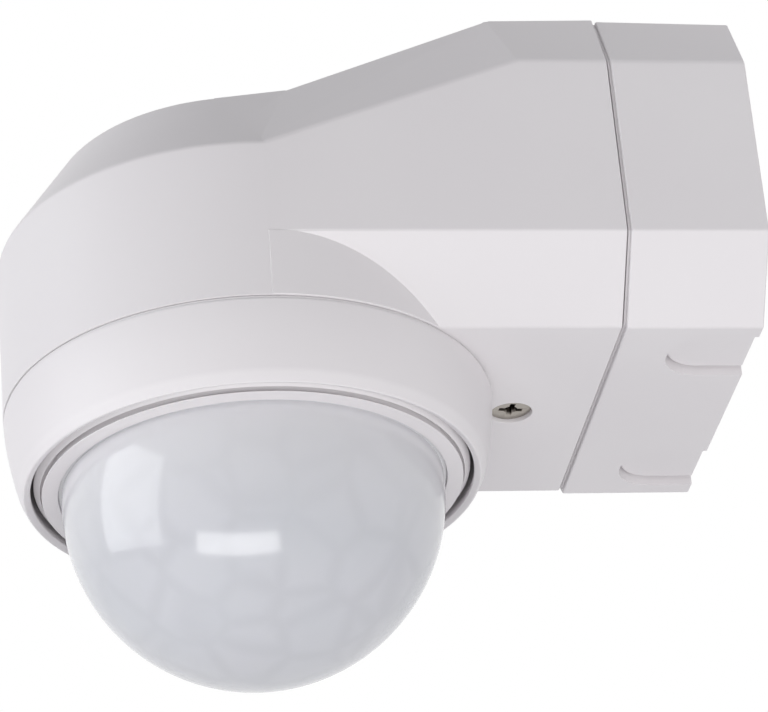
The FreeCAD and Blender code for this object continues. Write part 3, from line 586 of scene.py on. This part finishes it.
def parted(drawn, height, rise):
    """Raises the head's side below a height and behind the parting line by a small amount."""
    bm = bmesh.new()
    bm.from_mesh(drawn.data)
    split(bm, (0, 0, height), (0, 0, 1))
    split(bm, (0, PARTING, 0), (0, 1, 0))
    side = []
    for face in bm.faces:
        spot = face.calc_center_median()
        if abs(face.normal.z) < 0.1 and spot.z < height and spot.y > PARTING:
            side.append(face)
    bmesh.ops.inset_region(bm, faces=side, thickness=0.08, depth=rise, use_even_offset=True)
    bm.to_mesh(drawn.data)
    bm.free()
    return drawn


head_side = [
    (0, 0), (HEAD_RADIUS, 0), (half_width(CHEEK), CHEEK), (BROW_RADIUS, BROW), (0, BROW),
]
head = turned(head_side, "head", rounding={1: 0.06, 2: 0.5, 3: 0.5}, closed=False)
join(housing, parted(head, CHAMFER_TOP, 0.1))

# %% Blend from the roof into the head
BLEND_START, BLEND_ANGLE = -74.6, math.radians(-11.5)


def on_circle(radius, height):
    """A point on the head at the blend's angle round its axis."""
    return HEAD + Vector((radius * math.cos(BLEND_ANGLE), radius * math.sin(BLEND_ANGLE), height))


def roof_blend():
    """The hull that carries the roof's two upper edges on into the head's cone."""
    back = BLEND_START - ridge.y
    height = ridge.z + roof_slope * back
    x = ridge.x - (upper_facet.y * back + upper_facet.z * (height - ridge.z)) / upper_facet.x
    on_roof = Vector((x, BLEND_START, height))
    on_side = cheek + (heel - cheek).normalized() * 8 - Vector((0.6, 0, 0))
    on_brow, on_shoulder = on_circle(BROW_RADIUS, BROW), on_circle(half_width(CHEEK) - 0.6, CHEEK)
    corners = (on_roof, on_brow, on_side, on_shoulder)
    bm = bmesh.new()
    pairs = []
    for side in (1, -1):
        pairs.append([bm.verts.new((side * p.x, p.y, p.z)) for p in corners][:2])
    bmesh.ops.convex_hull(bm, input=bm.verts)
    edges = [e for start, end in pairs for e in start.link_edges if e.other_vert(start) == end]
    round_off(bm, edges, 0.25, 4)
    return to_object(bm, "roof_blend")


join(housing, roof_blend())
print("outside of the housing:", len(housing.data.polygons), "faces")

# %% [markdown]
# ## Inside the housing
#
# The wall is 2.2 mm thick all over, so the inside is the same form again, drawn in by the
# wall. A low collar under the head carries the trim ring. Four posts carry the power board,
# a small post stops the turning head, and a cage over the screw hole keeps the square nut
# from turning. They show once the housing is pulled off the wall box.

# %% Hollow, posts and cage
WALL = 2.2
ROOT = WALL / 2  # what stands on the wall starts in its middle
hollow = planed(-22, HEAD.y, section + roof, "hollow", inset=WALL)
inner_head = [(0, WALL), (37.8, WALL), (38.0, 26.6), (28.4, 40.3), (0, 40.3)]
join(hollow, turned(inner_head, "inner_head", closed=False))
cut(housing, hollow)
ring_seat = [(35.9, -2.8), (37.3, -2.8), (37.3, ROOT), (35.9, ROOT)]
join(housing, turned(ring_seat, "ring_seat", rounding={0: 0.2, 1: 0.2}))
cut(housing, post(12.25, -1, 3.2, 0, HEAD.y, "hub_hole", steps=96))
join(housing, post(1.5, ROOT, 5.2, 0, -63.2, "stop_post"))
for x in (-24, 24):
    for y in (-31.5, -57):
        join(housing, post(3, ROOT, 10.7, x, y, "board_post"))
        cut(housing, post(1.2, WALL, 11.7, x, y, "board_post_hole"))
join(housing, bar((-5.2, -45.7, 5.1), (5.2, -32.7, 9.2), "nut_cage"))
join(housing, bar((-5.2, -45.7, ROOT), (5.2, -43.3, 9.2), "cage_leg"))
cut(housing, bar((-3.6, -39.9, 4.1), (3.6, -31.7, 8.0), "nut_room"))
print("with its inside:", len(housing.data.polygons), "faces")

# %% [markdown]
# ## Screw seat
#
# The screw sits 0.65 mm deep in a countersunk hole in the underside. Its rim is slightly
# rounded, and that thin bright line round the screw is what makes it look set in rather
# than painted on.

# %% Screw seat
SCREW = Vector((0, -36.3, 0))
SEAT = 3.52
seat = [(0, -1), (SEAT, -1), (SEAT, 0.75), (1.85, 2.3), (1.85, 3.2), (0, 3.2)]
cut(housing, turned(seat, "screw_seat", steps=64, closed=False, centre=SCREW))
soften(housing, lambda p: abs(p.z) < 0.05 and abs((p - SCREW).length - SEAT) < 0.1, 0.14)
finish_piece(housing, "housing", white_plastic, "housing_shell")

# %% [markdown]
# ## Wall box
#
# The rear half is a tray that is screwed to the wall. Its underside stands 0.4 mm below the
# housing's, and its front edge steps in by half a millimetre, so that a thin shadow line
# runs round the seam. A lip inside it guides the housing and holds the sealing cord. The
# slotted tongue at the bottom is what the housing screw clamps. Two pockets in the underside
# are knock-outs for a cable from below. A groove scores their outline so that they break out
# cleanly, and their rims are rounded: a dark crescent with a soft bright edge.

# %% Wall box
BOX_FOOT, BOX_FOOT_HALF = -0.4, 29.5
outline = section + box_roof
box_planes = [(Vector((0, 0, BOX_FOOT)), Vector((0, 0, -1)))]
box_planes += both_sides(
    (half_width(CHAMFER_TOP), 0, CHAMFER_TOP),
    (CHAMFER_TOP - BOX_FOOT, 0, BOX_FOOT_HALF - half_width(CHAMFER_TOP)),
)
box_planes += walls + box_roof
box = planed(
    0, -22.4, box_planes, "wall_base_box", softness=SOFTNESS, rear_soft=0.3, front_soft=0.3,
)
join(box, planed(-22, -22.78, outline, "step", inset=0.5, front_soft=0.1))
join(box, planed(-15, -27, outline, "lip", inset=2.5, front_soft=0.25))
cut(box, planed(-2.4, -16.5, outline, "box_hollow", inset=2.4))
cut(box, planed(-15.5, -30, outline, "rim_hollow", inset=4.0))
groove = planed(-22, -23.4, outline, "groove", inset=1.0)
cut(groove, planed(-21, -24, outline, "groove_core", inset=2.5))
cut(box, groove)
print("wall box:", len(box.data.polygons), "faces")

# %% Tongue, posts and holes
POCKET_X, POCKET_Y, POCKET_HALF, SCORE_INSIDE = 20, -7.7, 6.4, 5.8


def knock_out(side, half, depth):
    """A tool with the outline of a knock-out pocket, open towards the wall."""
    x = side * POCKET_X
    tool = bar((x - half, POCKET_Y, -1), (x + half, 1, depth), "pocket")
    join(tool, post(half, -1, depth, x, POCKET_Y, "pocket_end", steps=64))
    return tool


join(box, bar((-9, -43, 2.5), (9, -16.5, 4.9), "tongue", soft=0.2))
cut(box, bar((-2.2, -44, 1.5), (2.2, SCREW.y, 5.9), "slot"))
cut(box, post(2.2, 1.5, 5.9, SCREW.x, SCREW.y, "slot_end"))
for side in (-1, 1):
    join(box, peg(2.3, -1.2, -5.4, side * 17.5, 16.9, "ear_post"))
    cut(box, peg(1.2, -1.2, -6.4, side * 17.5, 16.9, "ear_hole"))
    cut(box, peg(2.25, 1, -3.4, side * 30, HALF_HEIGHT, "fixing_hole"))
    score = knock_out(side, POCKET_HALF, 1.9)
    cut(score, knock_out(side, SCORE_INSIDE, 3))
    cut(box, score)
    cut(box, knock_out(side, POCKET_HALF, 1.1))
cut(box, peg(9, 1, -3.4, 0, 40.45, "cable_hole", steps=72))


def on_pocket_rim(point):
    """Whether a point lies on the rim of a pocket in the underside."""
    across, along = abs(abs(point.x) - POCKET_X), point.y - POCKET_Y
    reach = across if along > 0 else math.hypot(across, along)
    on_outline = abs(reach - POCKET_HALF) < 0.1 and point.y < -0.2
    return abs(point.z - BOX_FOOT) < 0.02 and on_outline


soften(box, on_pocket_rim, 0.45)
finish_piece(box, "wall_base", white_plastic, "wall_box")

# %% [markdown]
# ## Trim ring
#
# The ring pulls off downwards and hides the three adjusters. Its wall tapers in a slight
# curve, and the lower rim rolls inwards to a narrow lip. A collar 0.2 mm slimmer runs round
# its top, so the seam to the head reads as two fine lines.

# %% Trim ring
ring_profile = [
    (39.75, -0.1), (39.75, -0.6), (39.97, -0.65), (39.76, -3.4), (39.25, -6.5), (38.68, -9.3),
    (38, -12), (37.05, -13.85), (35.95, -13.3), (35.95, -12.7), (36.3, -12), (37.6, -5),
    (37.6, -0.1),
]
ring_rounding = {0: 0.06, 2: 0.05, 6: 0.4, 7: 0.3, 8: 0.15, 12: 0.08}
ring = turned(ring_profile, "trim_ring_cover", rounding=ring_rounding)
finish_piece(ring, "trim_ring", white_plastic, "trim_ring")

# %% [markdown]
# ## Bezel and dome
#
# The bezel is a flat ring that holds the lens. A fine undercut groove runs round its foot,
# and a sloping collar goes on from there to the trim ring; the groove reads as a dark line.
# The dome is a drawn arc spun about the axis, with its clamping flange and a small collar
# that nearly fills the gap to the bezel. Spinning keeps both exactly round, so the
# reflections on the dome run smoothly.

# %% Bezel
FINE_STEPS = 180
bezel_profile = [
    (35.45, -12.0), (34.42, -13.1), (34.3, -12.3), (33.65, -12.3), (33.65, -13.3),
    (34.15, -13.72), (34.15, -13.9), (31.5, -13.9), (31.5, -12.3), (32.95, -12.3),
    (32.95, -10.9), (33.5, -10.9), (33.5, -12.0),
]
bezel_rounding = {0: 0.15, 1: 0.06, 6: 0.1, 7: 0.14}
bezel = turned(bezel_profile, "lens_bezel", steps=FINE_STEPS, rounding=bezel_rounding)
finish_piece(bezel, "sensor_head", white_plastic, "collar_bezel")

# %% Dome
LENS_LEVEL = -15.55  # height of the dome's centre


def arc(radius, start, steps):
    """Points of the lens's meridian, from an angle above its level, in degrees, to its pole."""
    across, rise = (radius * share(math.radians(start)) for share in (math.cos, math.sin))
    bm = bmesh.new()
    first = bm.verts.new((across, 0, LENS_LEVEL + rise))
    bmesh.ops.spin(
        bm, geom=[first], cent=(0, 0, LENS_LEVEL), axis=(0, 1, 0),
        angle=math.radians(start + 90), steps=steps,
    )
    points = [(v.co.x, v.co.z) for v in bm.verts]
    bm.free()
    return points


flange = [(31.45, -13.5), (31.43, -12.3), (32.35, -12.3), (32.35, -11.3)]
dome_profile = arc(31, 3.6, 48)[::-1] + flange + arc(30.1, 8.12, 40)
dome = turned(dome_profile, "milky_dome", steps=FINE_STEPS, closed=False)
finish_piece(dome, "sensor_head", milky, "lens_dome")

# %% [markdown]
# ## Housing screw
#
# A countersunk M3.5 screw. Its head and shank are one spun profile, and the cross recess is
# cut with two tapered bars and a small cone, as the punch is shaped. It needs its own
# finish: the cross is painted nearly black as shade, darker the deeper it lies below the
# face, while the plated face around it stays bright.

# %% Housing screw
FACE_LEVEL = 0.65  # height of the head's flat face
screw_profile = [
    (0, FACE_LEVEL), (3.42, FACE_LEVEL), (3.42, 0.8), (1.75, 2.4), (1.75, 8), (0, 8),
]
screw = turned(
    screw_profile, "cover_screw", steps=72, rounding={1: 0.1}, closed=False, centre=SCREW,
)


def cross_arm(turn, length=4.0, width=0.9, depth=2.0, taper=0.5):
    """One arm of the cross punch: a bar that narrows as it goes in."""
    corner = math.sqrt(0.5)
    bm = bmesh.new()
    bmesh.ops.create_cone(
        bm, cap_ends=True, segments=4, radius1=corner, radius2=taper * corner, depth=depth,
    )

    def rotate(angle):
        matrix = Matrix.Rotation(math.radians(angle), 3, "Z")
        bmesh.ops.rotate(bm, verts=bm.verts, cent=(0, 0, 0), matrix=matrix)

    rotate(45)
    bmesh.ops.scale(bm, verts=bm.verts, vec=(length, width, 1))
    rotate(turn)
    place = SCREW + Vector((0, 0, FACE_LEVEL - 0.01 + depth / 2))
    bmesh.ops.translate(bm, verts=bm.verts, vec=place)
    return to_object(bm, "cross_arm")


for turn in (4, 94):
    cut(screw, cross_arm(turn))
cut(screw, post(1.15, 0.6, 2.7, SCREW.x, SCREW.y, "cross_middle", steps=24, top=0.6))
soften(screw, lambda p: abs(p.z - FACE_LEVEL) < 0.01 and (p - SCREW).length < 2.7, 0.06, 2)

# %% Finish of the housing screw
screw_face, tree, place = start_material("nickel_plated_screw_with_painted_shade_in_cross")
height = add(tree, "SeparateXYZ", {0: place})
face = (FACE_LEVEL - HALF_HEIGHT) / 1000
# Painted shade: inside the cross the tone goes nearly black with depth below the face.
depth = add(tree, "MapRange", {
    "Value": height.outputs["Z"], "From Min": face + 0.00012, "From Max": face + 0.0006,
})
scuffs = add(tree, "TexNoise", {"Vector": place, "Scale": per_mm(0.5), "Detail": 3.0})
plating = add(tree, "Mix", {"Factor": scuffs, "A": "#948E87", "B": "#B5AFA8"}, data_type="RGBA")
tone = add(tree, "Mix", {"Factor": depth, "A": plating, "B": "#2A2521"}, data_type="RGBA")
gloss = add(tree, "MapRange", {"Value": scuffs, "To Min": 0.3, "To Max": 0.46})
bump = add(tree, "Bump", {"Height": scuffs, "Strength": 0.25, "Distance": 0.00003})
shader = add(tree, "BsdfPrincipled", {
    "Base Color": tone, "Metallic": 1.0, "Roughness": gloss, "Normal": bump,
})
add(tree, "OutputMaterial", {"Surface": shader})
finish_piece(screw, "housing", screw_face, "housing_screw")

# %% [markdown]
# ## Parts from the construction model
#
# Everything behind the cover already has its right shape in the construction model. Each
# part is copied, its loose triangles are merged, flat faces are made whole again, and then
# its edges are rounded a little, because no real edge is perfectly sharp and the rounding
# is what catches the light. Thin and fully curved parts keep their own mesh.


def softened(name, node, material, soft):
    """A piece copied from a construction node, with its edges rounded by soft millimetres."""
    source = frame["nodes"][node]
    bm = bmesh.new()
    bm.from_mesh(source.data)
    bmesh.ops.remove_doubles(bm, verts=bm.verts, dist=1e-6)
    bmesh.ops.dissolve_limit(bm, angle_limit=math.radians(1), verts=bm.verts, edges=bm.edges)
    fold = math.radians(40)
    edges = [e for e in bm.edges if len(e.link_faces) == 2 and e.calc_face_angle(0) > fold]
    round_off(bm, edges, soft / 1000, 2)
    piece = new_object(bm, name)
    if "custom_normal" in piece.data.attributes:
        piece.data.attributes.remove(piece.data.attributes["custom_normal"])
    settle(piece, source["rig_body"], material, node)


def dress(node, material):
    """Gives a construction node its finish and leaves its shape alone."""
    mesh = frame["nodes"][node].data
    mesh.materials.clear()
    mesh.materials.append(material)
    print(node, "of", material.name)


# %% [markdown]
# ## Drum and inner mouldings
#
# The drum, the ring that clamps the lens and the housing are one plastic. The hub clip and
# the terminal block are polyamide, which is tougher and looks slightly waxy and greyer,
# with faint flow streaks a few millimetres long.

# %% Drum and inner mouldings
softened("drum", "sensor_drum", white_plastic, 0.2)
softened("lens_clamp", "lens_clamp_ring", white_plastic, 0.12)

grey_polyamide, tree, place = start_material("moulded_polyamide_grey")
long_way = add(tree, "Mapping", {"Vector": place, "Scale": (1, 0.25, 1)})
flow = add(tree, "TexNoise", {
    "Vector": long_way, "Scale": per_mm(1.6), "Detail": 3.0, "Distortion": 0.6,
})
tone = add(tree, "Mix", {"Factor": flow, "A": "#A9ACAF", "B": "#BABCBE"}, data_type="RGBA")
gloss = add(tree, "MapRange", {"Value": flow, "To Min": 0.32, "To Max": 0.5})
bump = add(tree, "Bump", {"Height": flow, "Strength": 0.1, "Distance": 0.0001})
shader = add(tree, "BsdfPrincipled", {
    "Base Color": tone, "Roughness": gloss, "IOR": 1.53, "Normal": bump,
})
add(tree, "OutputMaterial", {"Surface": shader})
softened("terminal_housing", "terminal_block", grey_polyamide, 0.25)
softened("clip", "hub_clip", grey_polyamide, 0.2)

# %% [markdown]
# ## Rubber
#
# The sealing cord and the cable grommet are nitrile rubber: black, dull, and a little grey
# where the talc from the mould stays on it. The grommet's lips are rounded, because rubber
# can't be moulded with a sharp edge.

# %% Rubber
rubber, tree, place = start_material("nitrile_rubber_black")
talc = add(tree, "TexNoise", {
    "Vector": place, "Scale": per_mm(1.2), "Detail": 4.0, "Roughness": 0.65,
})
bloom = add(tree, "MapRange", {"Value": talc, "From Min": 0.5, "From Max": 0.75})
tone = add(tree, "Mix", {"Factor": bloom, "A": "#1B1B1D", "B": "#333336"}, data_type="RGBA")
gloss = add(tree, "MapRange", {"Value": talc, "To Min": 0.55, "To Max": 0.85})
bump = add(tree, "Bump", {"Height": talc, "Strength": 0.15, "Distance": 0.0001})
shader = add(tree, "BsdfPrincipled", {
    "Base Color": tone, "Roughness": gloss, "IOR": 1.52, "Normal": bump,
})
add(tree, "OutputMaterial", {"Surface": shader})
softened("grommet", "cable_grommet", rubber, 0.35)
dress("seam_gasket", rubber)

# %% [markdown]
# ## Metal parts
#
# All screws and the square nut share the nickel plating. The terminal clamps are stamped
# from drawn brass strip, which keeps fine lines along the strip, about 0.1 mm apart and
# drawn here at 0.3 mm. Contacts, sensor cans and fuse caps are tin plate: brighter, with
# soft crystal flakes a millimetre or two across.

# %% Metal parts
for name, node in (
    ("clamp_screw_heads", "terminal_screws"), ("block_fixings", "block_screws"),
    ("nut", "square_nut"), ("board_fixings", "board_screws"),
    ("sensor_board_fixings", "sensor_board_screws"),
):
    softened(name, node, plated_steel, 0.12)

brass, tree, place = start_material("drawn_brass")
strip = add(tree, "Mapping", {"Vector": place, "Scale": (1, 0.06, 1)})
lines = add(tree, "TexNoise", {"Vector": strip, "Scale": per_mm(0.3), "Detail": 2.0})
tarnish = add(tree, "TexNoise", {"Vector": place, "Scale": per_mm(3), "Detail": 2.0})
tone = add(tree, "Mix", {"Factor": tarnish, "A": "#B8924E", "B": "#DDBB74"}, data_type="RGBA")
gloss = add(tree, "MapRange", {"Value": lines, "To Min": 0.2, "To Max": 0.42})
bump = add(tree, "Bump", {"Height": lines, "Strength": 0.2, "Distance": 0.00005})
shader = add(tree, "BsdfPrincipled", {
    "Base Color": tone, "Metallic": 1.0, "Roughness": gloss, "Normal": bump,
})
add(tree, "OutputMaterial", {"Surface": shader})
softened("clamp_strips", "terminal_clamps", brass, 0.12)

tin_plate, tree, place = start_material("tin_plate")
flakes = add(tree, "TexVoronoi", {"Vector": place, "Scale": per_mm(1.5), "Randomness": 1.0})
shade = flakes.outputs["Color"]
tone = add(tree, "Mix", {"Factor": shade, "A": "#C4C4C2", "B": "#D9D9D6"}, data_type="RGBA")
gloss = add(tree, "MapRange", {"Value": shade, "To Min": 0.2, "To Max": 0.36})
shader = add(tree, "BsdfPrincipled", {"Base Color": tone, "Metallic": 1.0, "Roughness": gloss})
add(tree, "OutputMaterial", {"Surface": shader})
softened("contact_blades", "plug_pins", tin_plate, 0.12)
softened("fuse_ends", "fuse_caps", tin_plate, 0.15)
softened("sensor_cans", "pyro_sensors", tin_plate, 0.15)

# %% [markdown]
# ## Circuit boards
#
# Both boards are glass-fibre laminate under green solder mask. Where copper tracks run
# below the mask it looks lighter and stands 0.03 mm proud. A brick pattern with rows
# 1.6 mm high gives the tracks, and noise breaks it up so that it doesn't read as tiles.

# %% Circuit boards
board_green, tree, place = start_material("green_solder_mask")
bend = add(tree, "TexNoise", {"Vector": place, "Scale": per_mm(9), "Detail": 0.0})
spread = add(tree, "Mix", {
    "Factor": 0.004, "A": place, "B": bend.outputs["Color"],
}, data_type="RGBA", blend_type="ADD")
tracks = add(tree, "TexBrick", {
    "Vector": spread, "Scale": per_mm(1), "Mortar Size": 0.3, "Mortar Smooth": 0.15, "Bias": 0.0,
    "Brick Width": 7.0, "Row Height": 1.6,
})
breaks = add(tree, "TexNoise", {"Vector": place, "Scale": per_mm(4), "Detail": 1.0})
copper = add(tree, "Math", {0: tracks.outputs["Fac"], 1: breaks}, operation="MULTIPLY")
tone = add(tree, "Mix", {"Factor": copper, "A": "#17563A", "B": "#5FA37C"}, data_type="RGBA")
bump = add(tree, "Bump", {"Height": copper, "Strength": 0.4, "Distance": 0.00003})
shader = add(tree, "BsdfPrincipled", {
    "Base Color": tone, "Roughness": 0.32, "IOR": 1.55, "Normal": bump,
})
add(tree, "OutputMaterial", {"Surface": shader})
softened("main_board", "power_board", board_green, 0.08)
softened("round_board", "sensor_board", board_green, 0.08)

# %% [markdown]
# ## Parts on the boards
#
# Relay, film capacitor and flat packages are moulded plastics and epoxies. They differ in
# colour and sheen: the relay's polyester is black and satin, the capacitor's is yellow, and
# the packages are matt with a fine pitted surface. Connectors are natural polyamide, which
# is cream and lets a little light in.
#
# Many small parts have such a plain finish: one noise stands for grain, pits or flow, and
# tone, roughness and bump follow it. One function wires it, with each part's own numbers.

# %% Moulded parts on the boards


def speckled(name, size, detail, low, high, inputs, sheen=None, bump=None):
    """A material whose tone, and where given its roughness and bump, follow one noise."""
    material, tree, place = start_material(name)
    noise = add(tree, "TexNoise", {"Vector": place, "Scale": per_mm(size), "Detail": detail})
    tone = add(tree, "Mix", {"Factor": noise, "A": low, "B": high}, data_type="RGBA")
    inputs = {**inputs, "Base Color": tone}
    if sheen:
        ends = {"To Min": sheen[0], "To Max": sheen[1]}
        inputs["Roughness"] = add(tree, "MapRange", {"Value": noise, **ends})
    if bump:
        relief = {"Strength": bump[0], "Distance": bump[1]}
        inputs["Normal"] = add(tree, "Bump", {"Height": noise, **relief})
    shader = add(tree, "BsdfPrincipled", inputs)
    add(tree, "OutputMaterial", {"Surface": shader})
    return material


black_polyester = speckled(
    "moulded_polyester_black", 0.5, 2.0, "#161719", "#232528", {"IOR": 1.57}, sheen=(0.22, 0.4),
)
softened("relay_cover", "relay", black_polyester, 0.6)
softened("can_holder", "pyro_holder", black_polyester, 0.2)

yellow_polyester = speckled(
    "moulded_polyester_yellow", 5, 2.0, "#C29A1C", "#DDBB3A", {"IOR": 1.57}, sheen=(0.25, 0.4),
)
softened("film_case", "film_capacitor", yellow_polyester, 0.6)

chip_epoxy = speckled(
    "moulded_epoxy_black", 0.25, 2.0, "#18181A", "#2A2A2C", {"Roughness": 0.62, "IOR": 1.55},
    bump=(0.3, 0.00002),
)
softened("power_packages", "power_chips", chip_epoxy, 0.2)
softened("sensor_packages", "sensor_chips", chip_epoxy, 0.2)

cream_polyamide, tree, place = start_material("moulded_polyamide_natural")
flow = add(tree, "TexNoise", {
    "Vector": place, "Scale": per_mm(2.2), "Detail": 2.0, "Distortion": 0.8,
})
tone = add(tree, "Mix", {"Factor": flow, "A": "#D8D3C2", "B": "#E4E0D2"}, data_type="RGBA")
gloss = add(tree, "MapRange", {"Value": flow, "To Min": 0.3, "To Max": 0.46})
shader = add(tree, "BsdfPrincipled", {
    "Base Color": tone, "Roughness": gloss, "IOR": 1.53,
    "Subsurface Weight": 0.15, "Subsurface Radius": (1.0, 0.9, 0.7), "Subsurface Scale": 0.001,
})
add(tree, "OutputMaterial", {"Surface": shader})
for name, node in (
    ("contact_carrier", "plug_header"), ("board_socket", "lead_socket"), ("lead_end", "lead_plug"),
    ("trimmer_bodies", "adjuster_bodies"),
):
    softened(name, node, cream_polyamide, 0.25)

# %% [markdown]
# ## Capacitor, fuse, varistor and choke
#
# The electrolytic capacitor is an aluminium can in a shrunk sleeve that leaves its top
# bare, so one material changes from sleeve to metal by height. The fuse is glazed ceramic,
# the varistor has a dipped blue coat with an uneven skin, and the choke is enamelled copper
# wire on a ferrite core. The wire is 0.35 mm thick, so a wave with that pitch winds it.

# %% Capacitor
WAVE = 0.314  # a wave texture at scale 1 repeats every 0.314 units
can_low, can_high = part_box("electrolytic_capacitor")
sleeve, tree, place = start_material("shrink_sleeve_on_aluminium")
height = add(tree, "SeparateXYZ", {0: place})
bare = add(tree, "MapRange", {
    "Value": height.outputs["Z"], "From Min": can_high.z - 0.0004, "From Max": can_high.z - 0.0003,
})
to_axis = (-(can_low.x + can_high.x) / 2, -(can_low.y + can_high.y) / 2, 0)
centred = add(tree, "Mapping", {"Vector": place, "Location": to_axis})
turning = add(tree, "TexWave", {
    "Vector": centred, "Scale": per_mm(0.25) * WAVE,
}, wave_type="RINGS", rings_direction="Z").outputs["Fac"]
wrinkle = add(tree, "TexNoise", {"Vector": place, "Scale": per_mm(1.5), "Detail": 2.0})
film = add(tree, "Mix", {"Factor": wrinkle, "A": "#1D2236", "B": "#2A3050"}, data_type="RGBA")
metal = add(tree, "Mix", {"Factor": turning, "A": "#C9CACC", "B": "#D8D9DB"}, data_type="RGBA")
tone = add(tree, "Mix", {"Factor": bare, "A": film, "B": metal}, data_type="RGBA")
gloss = add(tree, "MapRange", {"Value": wrinkle, "To Min": 0.2, "To Max": 0.34})
shader = add(tree, "BsdfPrincipled", {
    "Base Color": tone, "Metallic": bare, "Roughness": gloss,
})
add(tree, "OutputMaterial", {"Surface": shader})
softened("electrolytic_can", "electrolytic_capacitor", sleeve, 0.5)

# %% Fuse, varistor and choke
ceramic = speckled(
    "glazed_ceramic", 3, 2.0, "#DAD6CA", "#E6E3DA",
    {"Roughness": 0.5, "Coat Weight": 0.8, "Coat Roughness": 0.06},
)
softened("fuse_tube", "fuse", ceramic, 0.1)

dipped = speckled(
    "dipped_epoxy_blue", 1.8, 3.0, "#1F4A94", "#2F62B4", {"Roughness": 0.28, "IOR": 1.55},
    bump=(0.5, 0.00025),
)
softened("varistor_disc", "varistor", dipped, 1.2)

ferrite = speckled(
    "sintered_ferrite", 0.3, 3.0, "#2B2B2E", "#44444A", {"Roughness": 0.7}, bump=(0.3, 0.00004),
)
softened("choke_core", "choke", ferrite, 0.25)

copper_wire, tree, place = start_material("enamelled_copper_wire")
turn_relief_and_painted_shade = add(tree, "TexWave", {
    "Vector": place, "Scale": per_mm(0.35) * WAVE,
}, wave_type="BANDS", bands_direction="Z").outputs["Fac"]
# The tone is painted shade: darker in the grooves between turns, lighter on their tops.
tone = add(tree, "Mix", {"Factor": turn_relief_and_painted_shade, "A": "#7A3418", "B": "#CB7A45"}, data_type="RGBA")
bump = add(tree, "Bump", {"Height": turn_relief_and_painted_shade, "Strength": 1.0, "Distance": 0.00012})
shader = add(tree, "BsdfPrincipled", {
    "Base Color": tone, "Metallic": 0.8, "Roughness": 0.3, "Coat Weight": 0.5,
    "Coat Roughness": 0.15, "Normal": bump,
})
add(tree, "OutputMaterial", {"Surface": shader})
dress("choke_winding", copper_wire)

# %% [markdown]
# ## Lead, windows, diodes and knobs
#
# The lead to the head has a soft grey vinyl jacket. The four sensor cans look out through
# coated silicon, which is dark and mirror-like. The light sensor is clear epoxy and the
# status diode red epoxy. The adjuster knobs are moulded in a slightly yellower plastic than
# the cover, with a satin finish and the same fine grain as the cover.

# %% Lead, windows, diodes and knobs
vinyl = speckled(
    "soft_vinyl_grey", 1.5, 3.0, "#6E7073", "#7F8285", {"IOR": 1.53}, sheen=(0.4, 0.6),
)
dress("head_lead", vinyl)

silicon = speckled(
    "coated_silicon_window", 6, 0.0, "#1E1A22", "#2E2A38", {"IOR": 2.2}, sheen=(0.06, 0.12),
)
dress("pyro_windows", silicon)

clear = {"IOR": 1.54, "Transmission Weight": 0.75}
for node, title, low, high in (
    ("light_sensor", "cast_epoxy_clear", "#DCE2E4", "#E8ECEE"),
    ("status_led", "cast_epoxy_red", "#A81C18", "#D83A2C"),
):
    dress(node, speckled(title, 2.5, 1.0, low, high, clear, sheen=(0.04, 0.1)))

knob_plastic = speckled(
    "moulded_plastic_ivory", 0.4, 2.0, "#D2CDBE", "#DEDACD", {"IOR": 1.53},
    sheen=(0.34, 0.5), bump=(0.1, 0.00005),
)
for name in ("time", "lux", "reach"):
    softened(name + "_adjuster", name + "_knob", knob_plastic, 0.1)
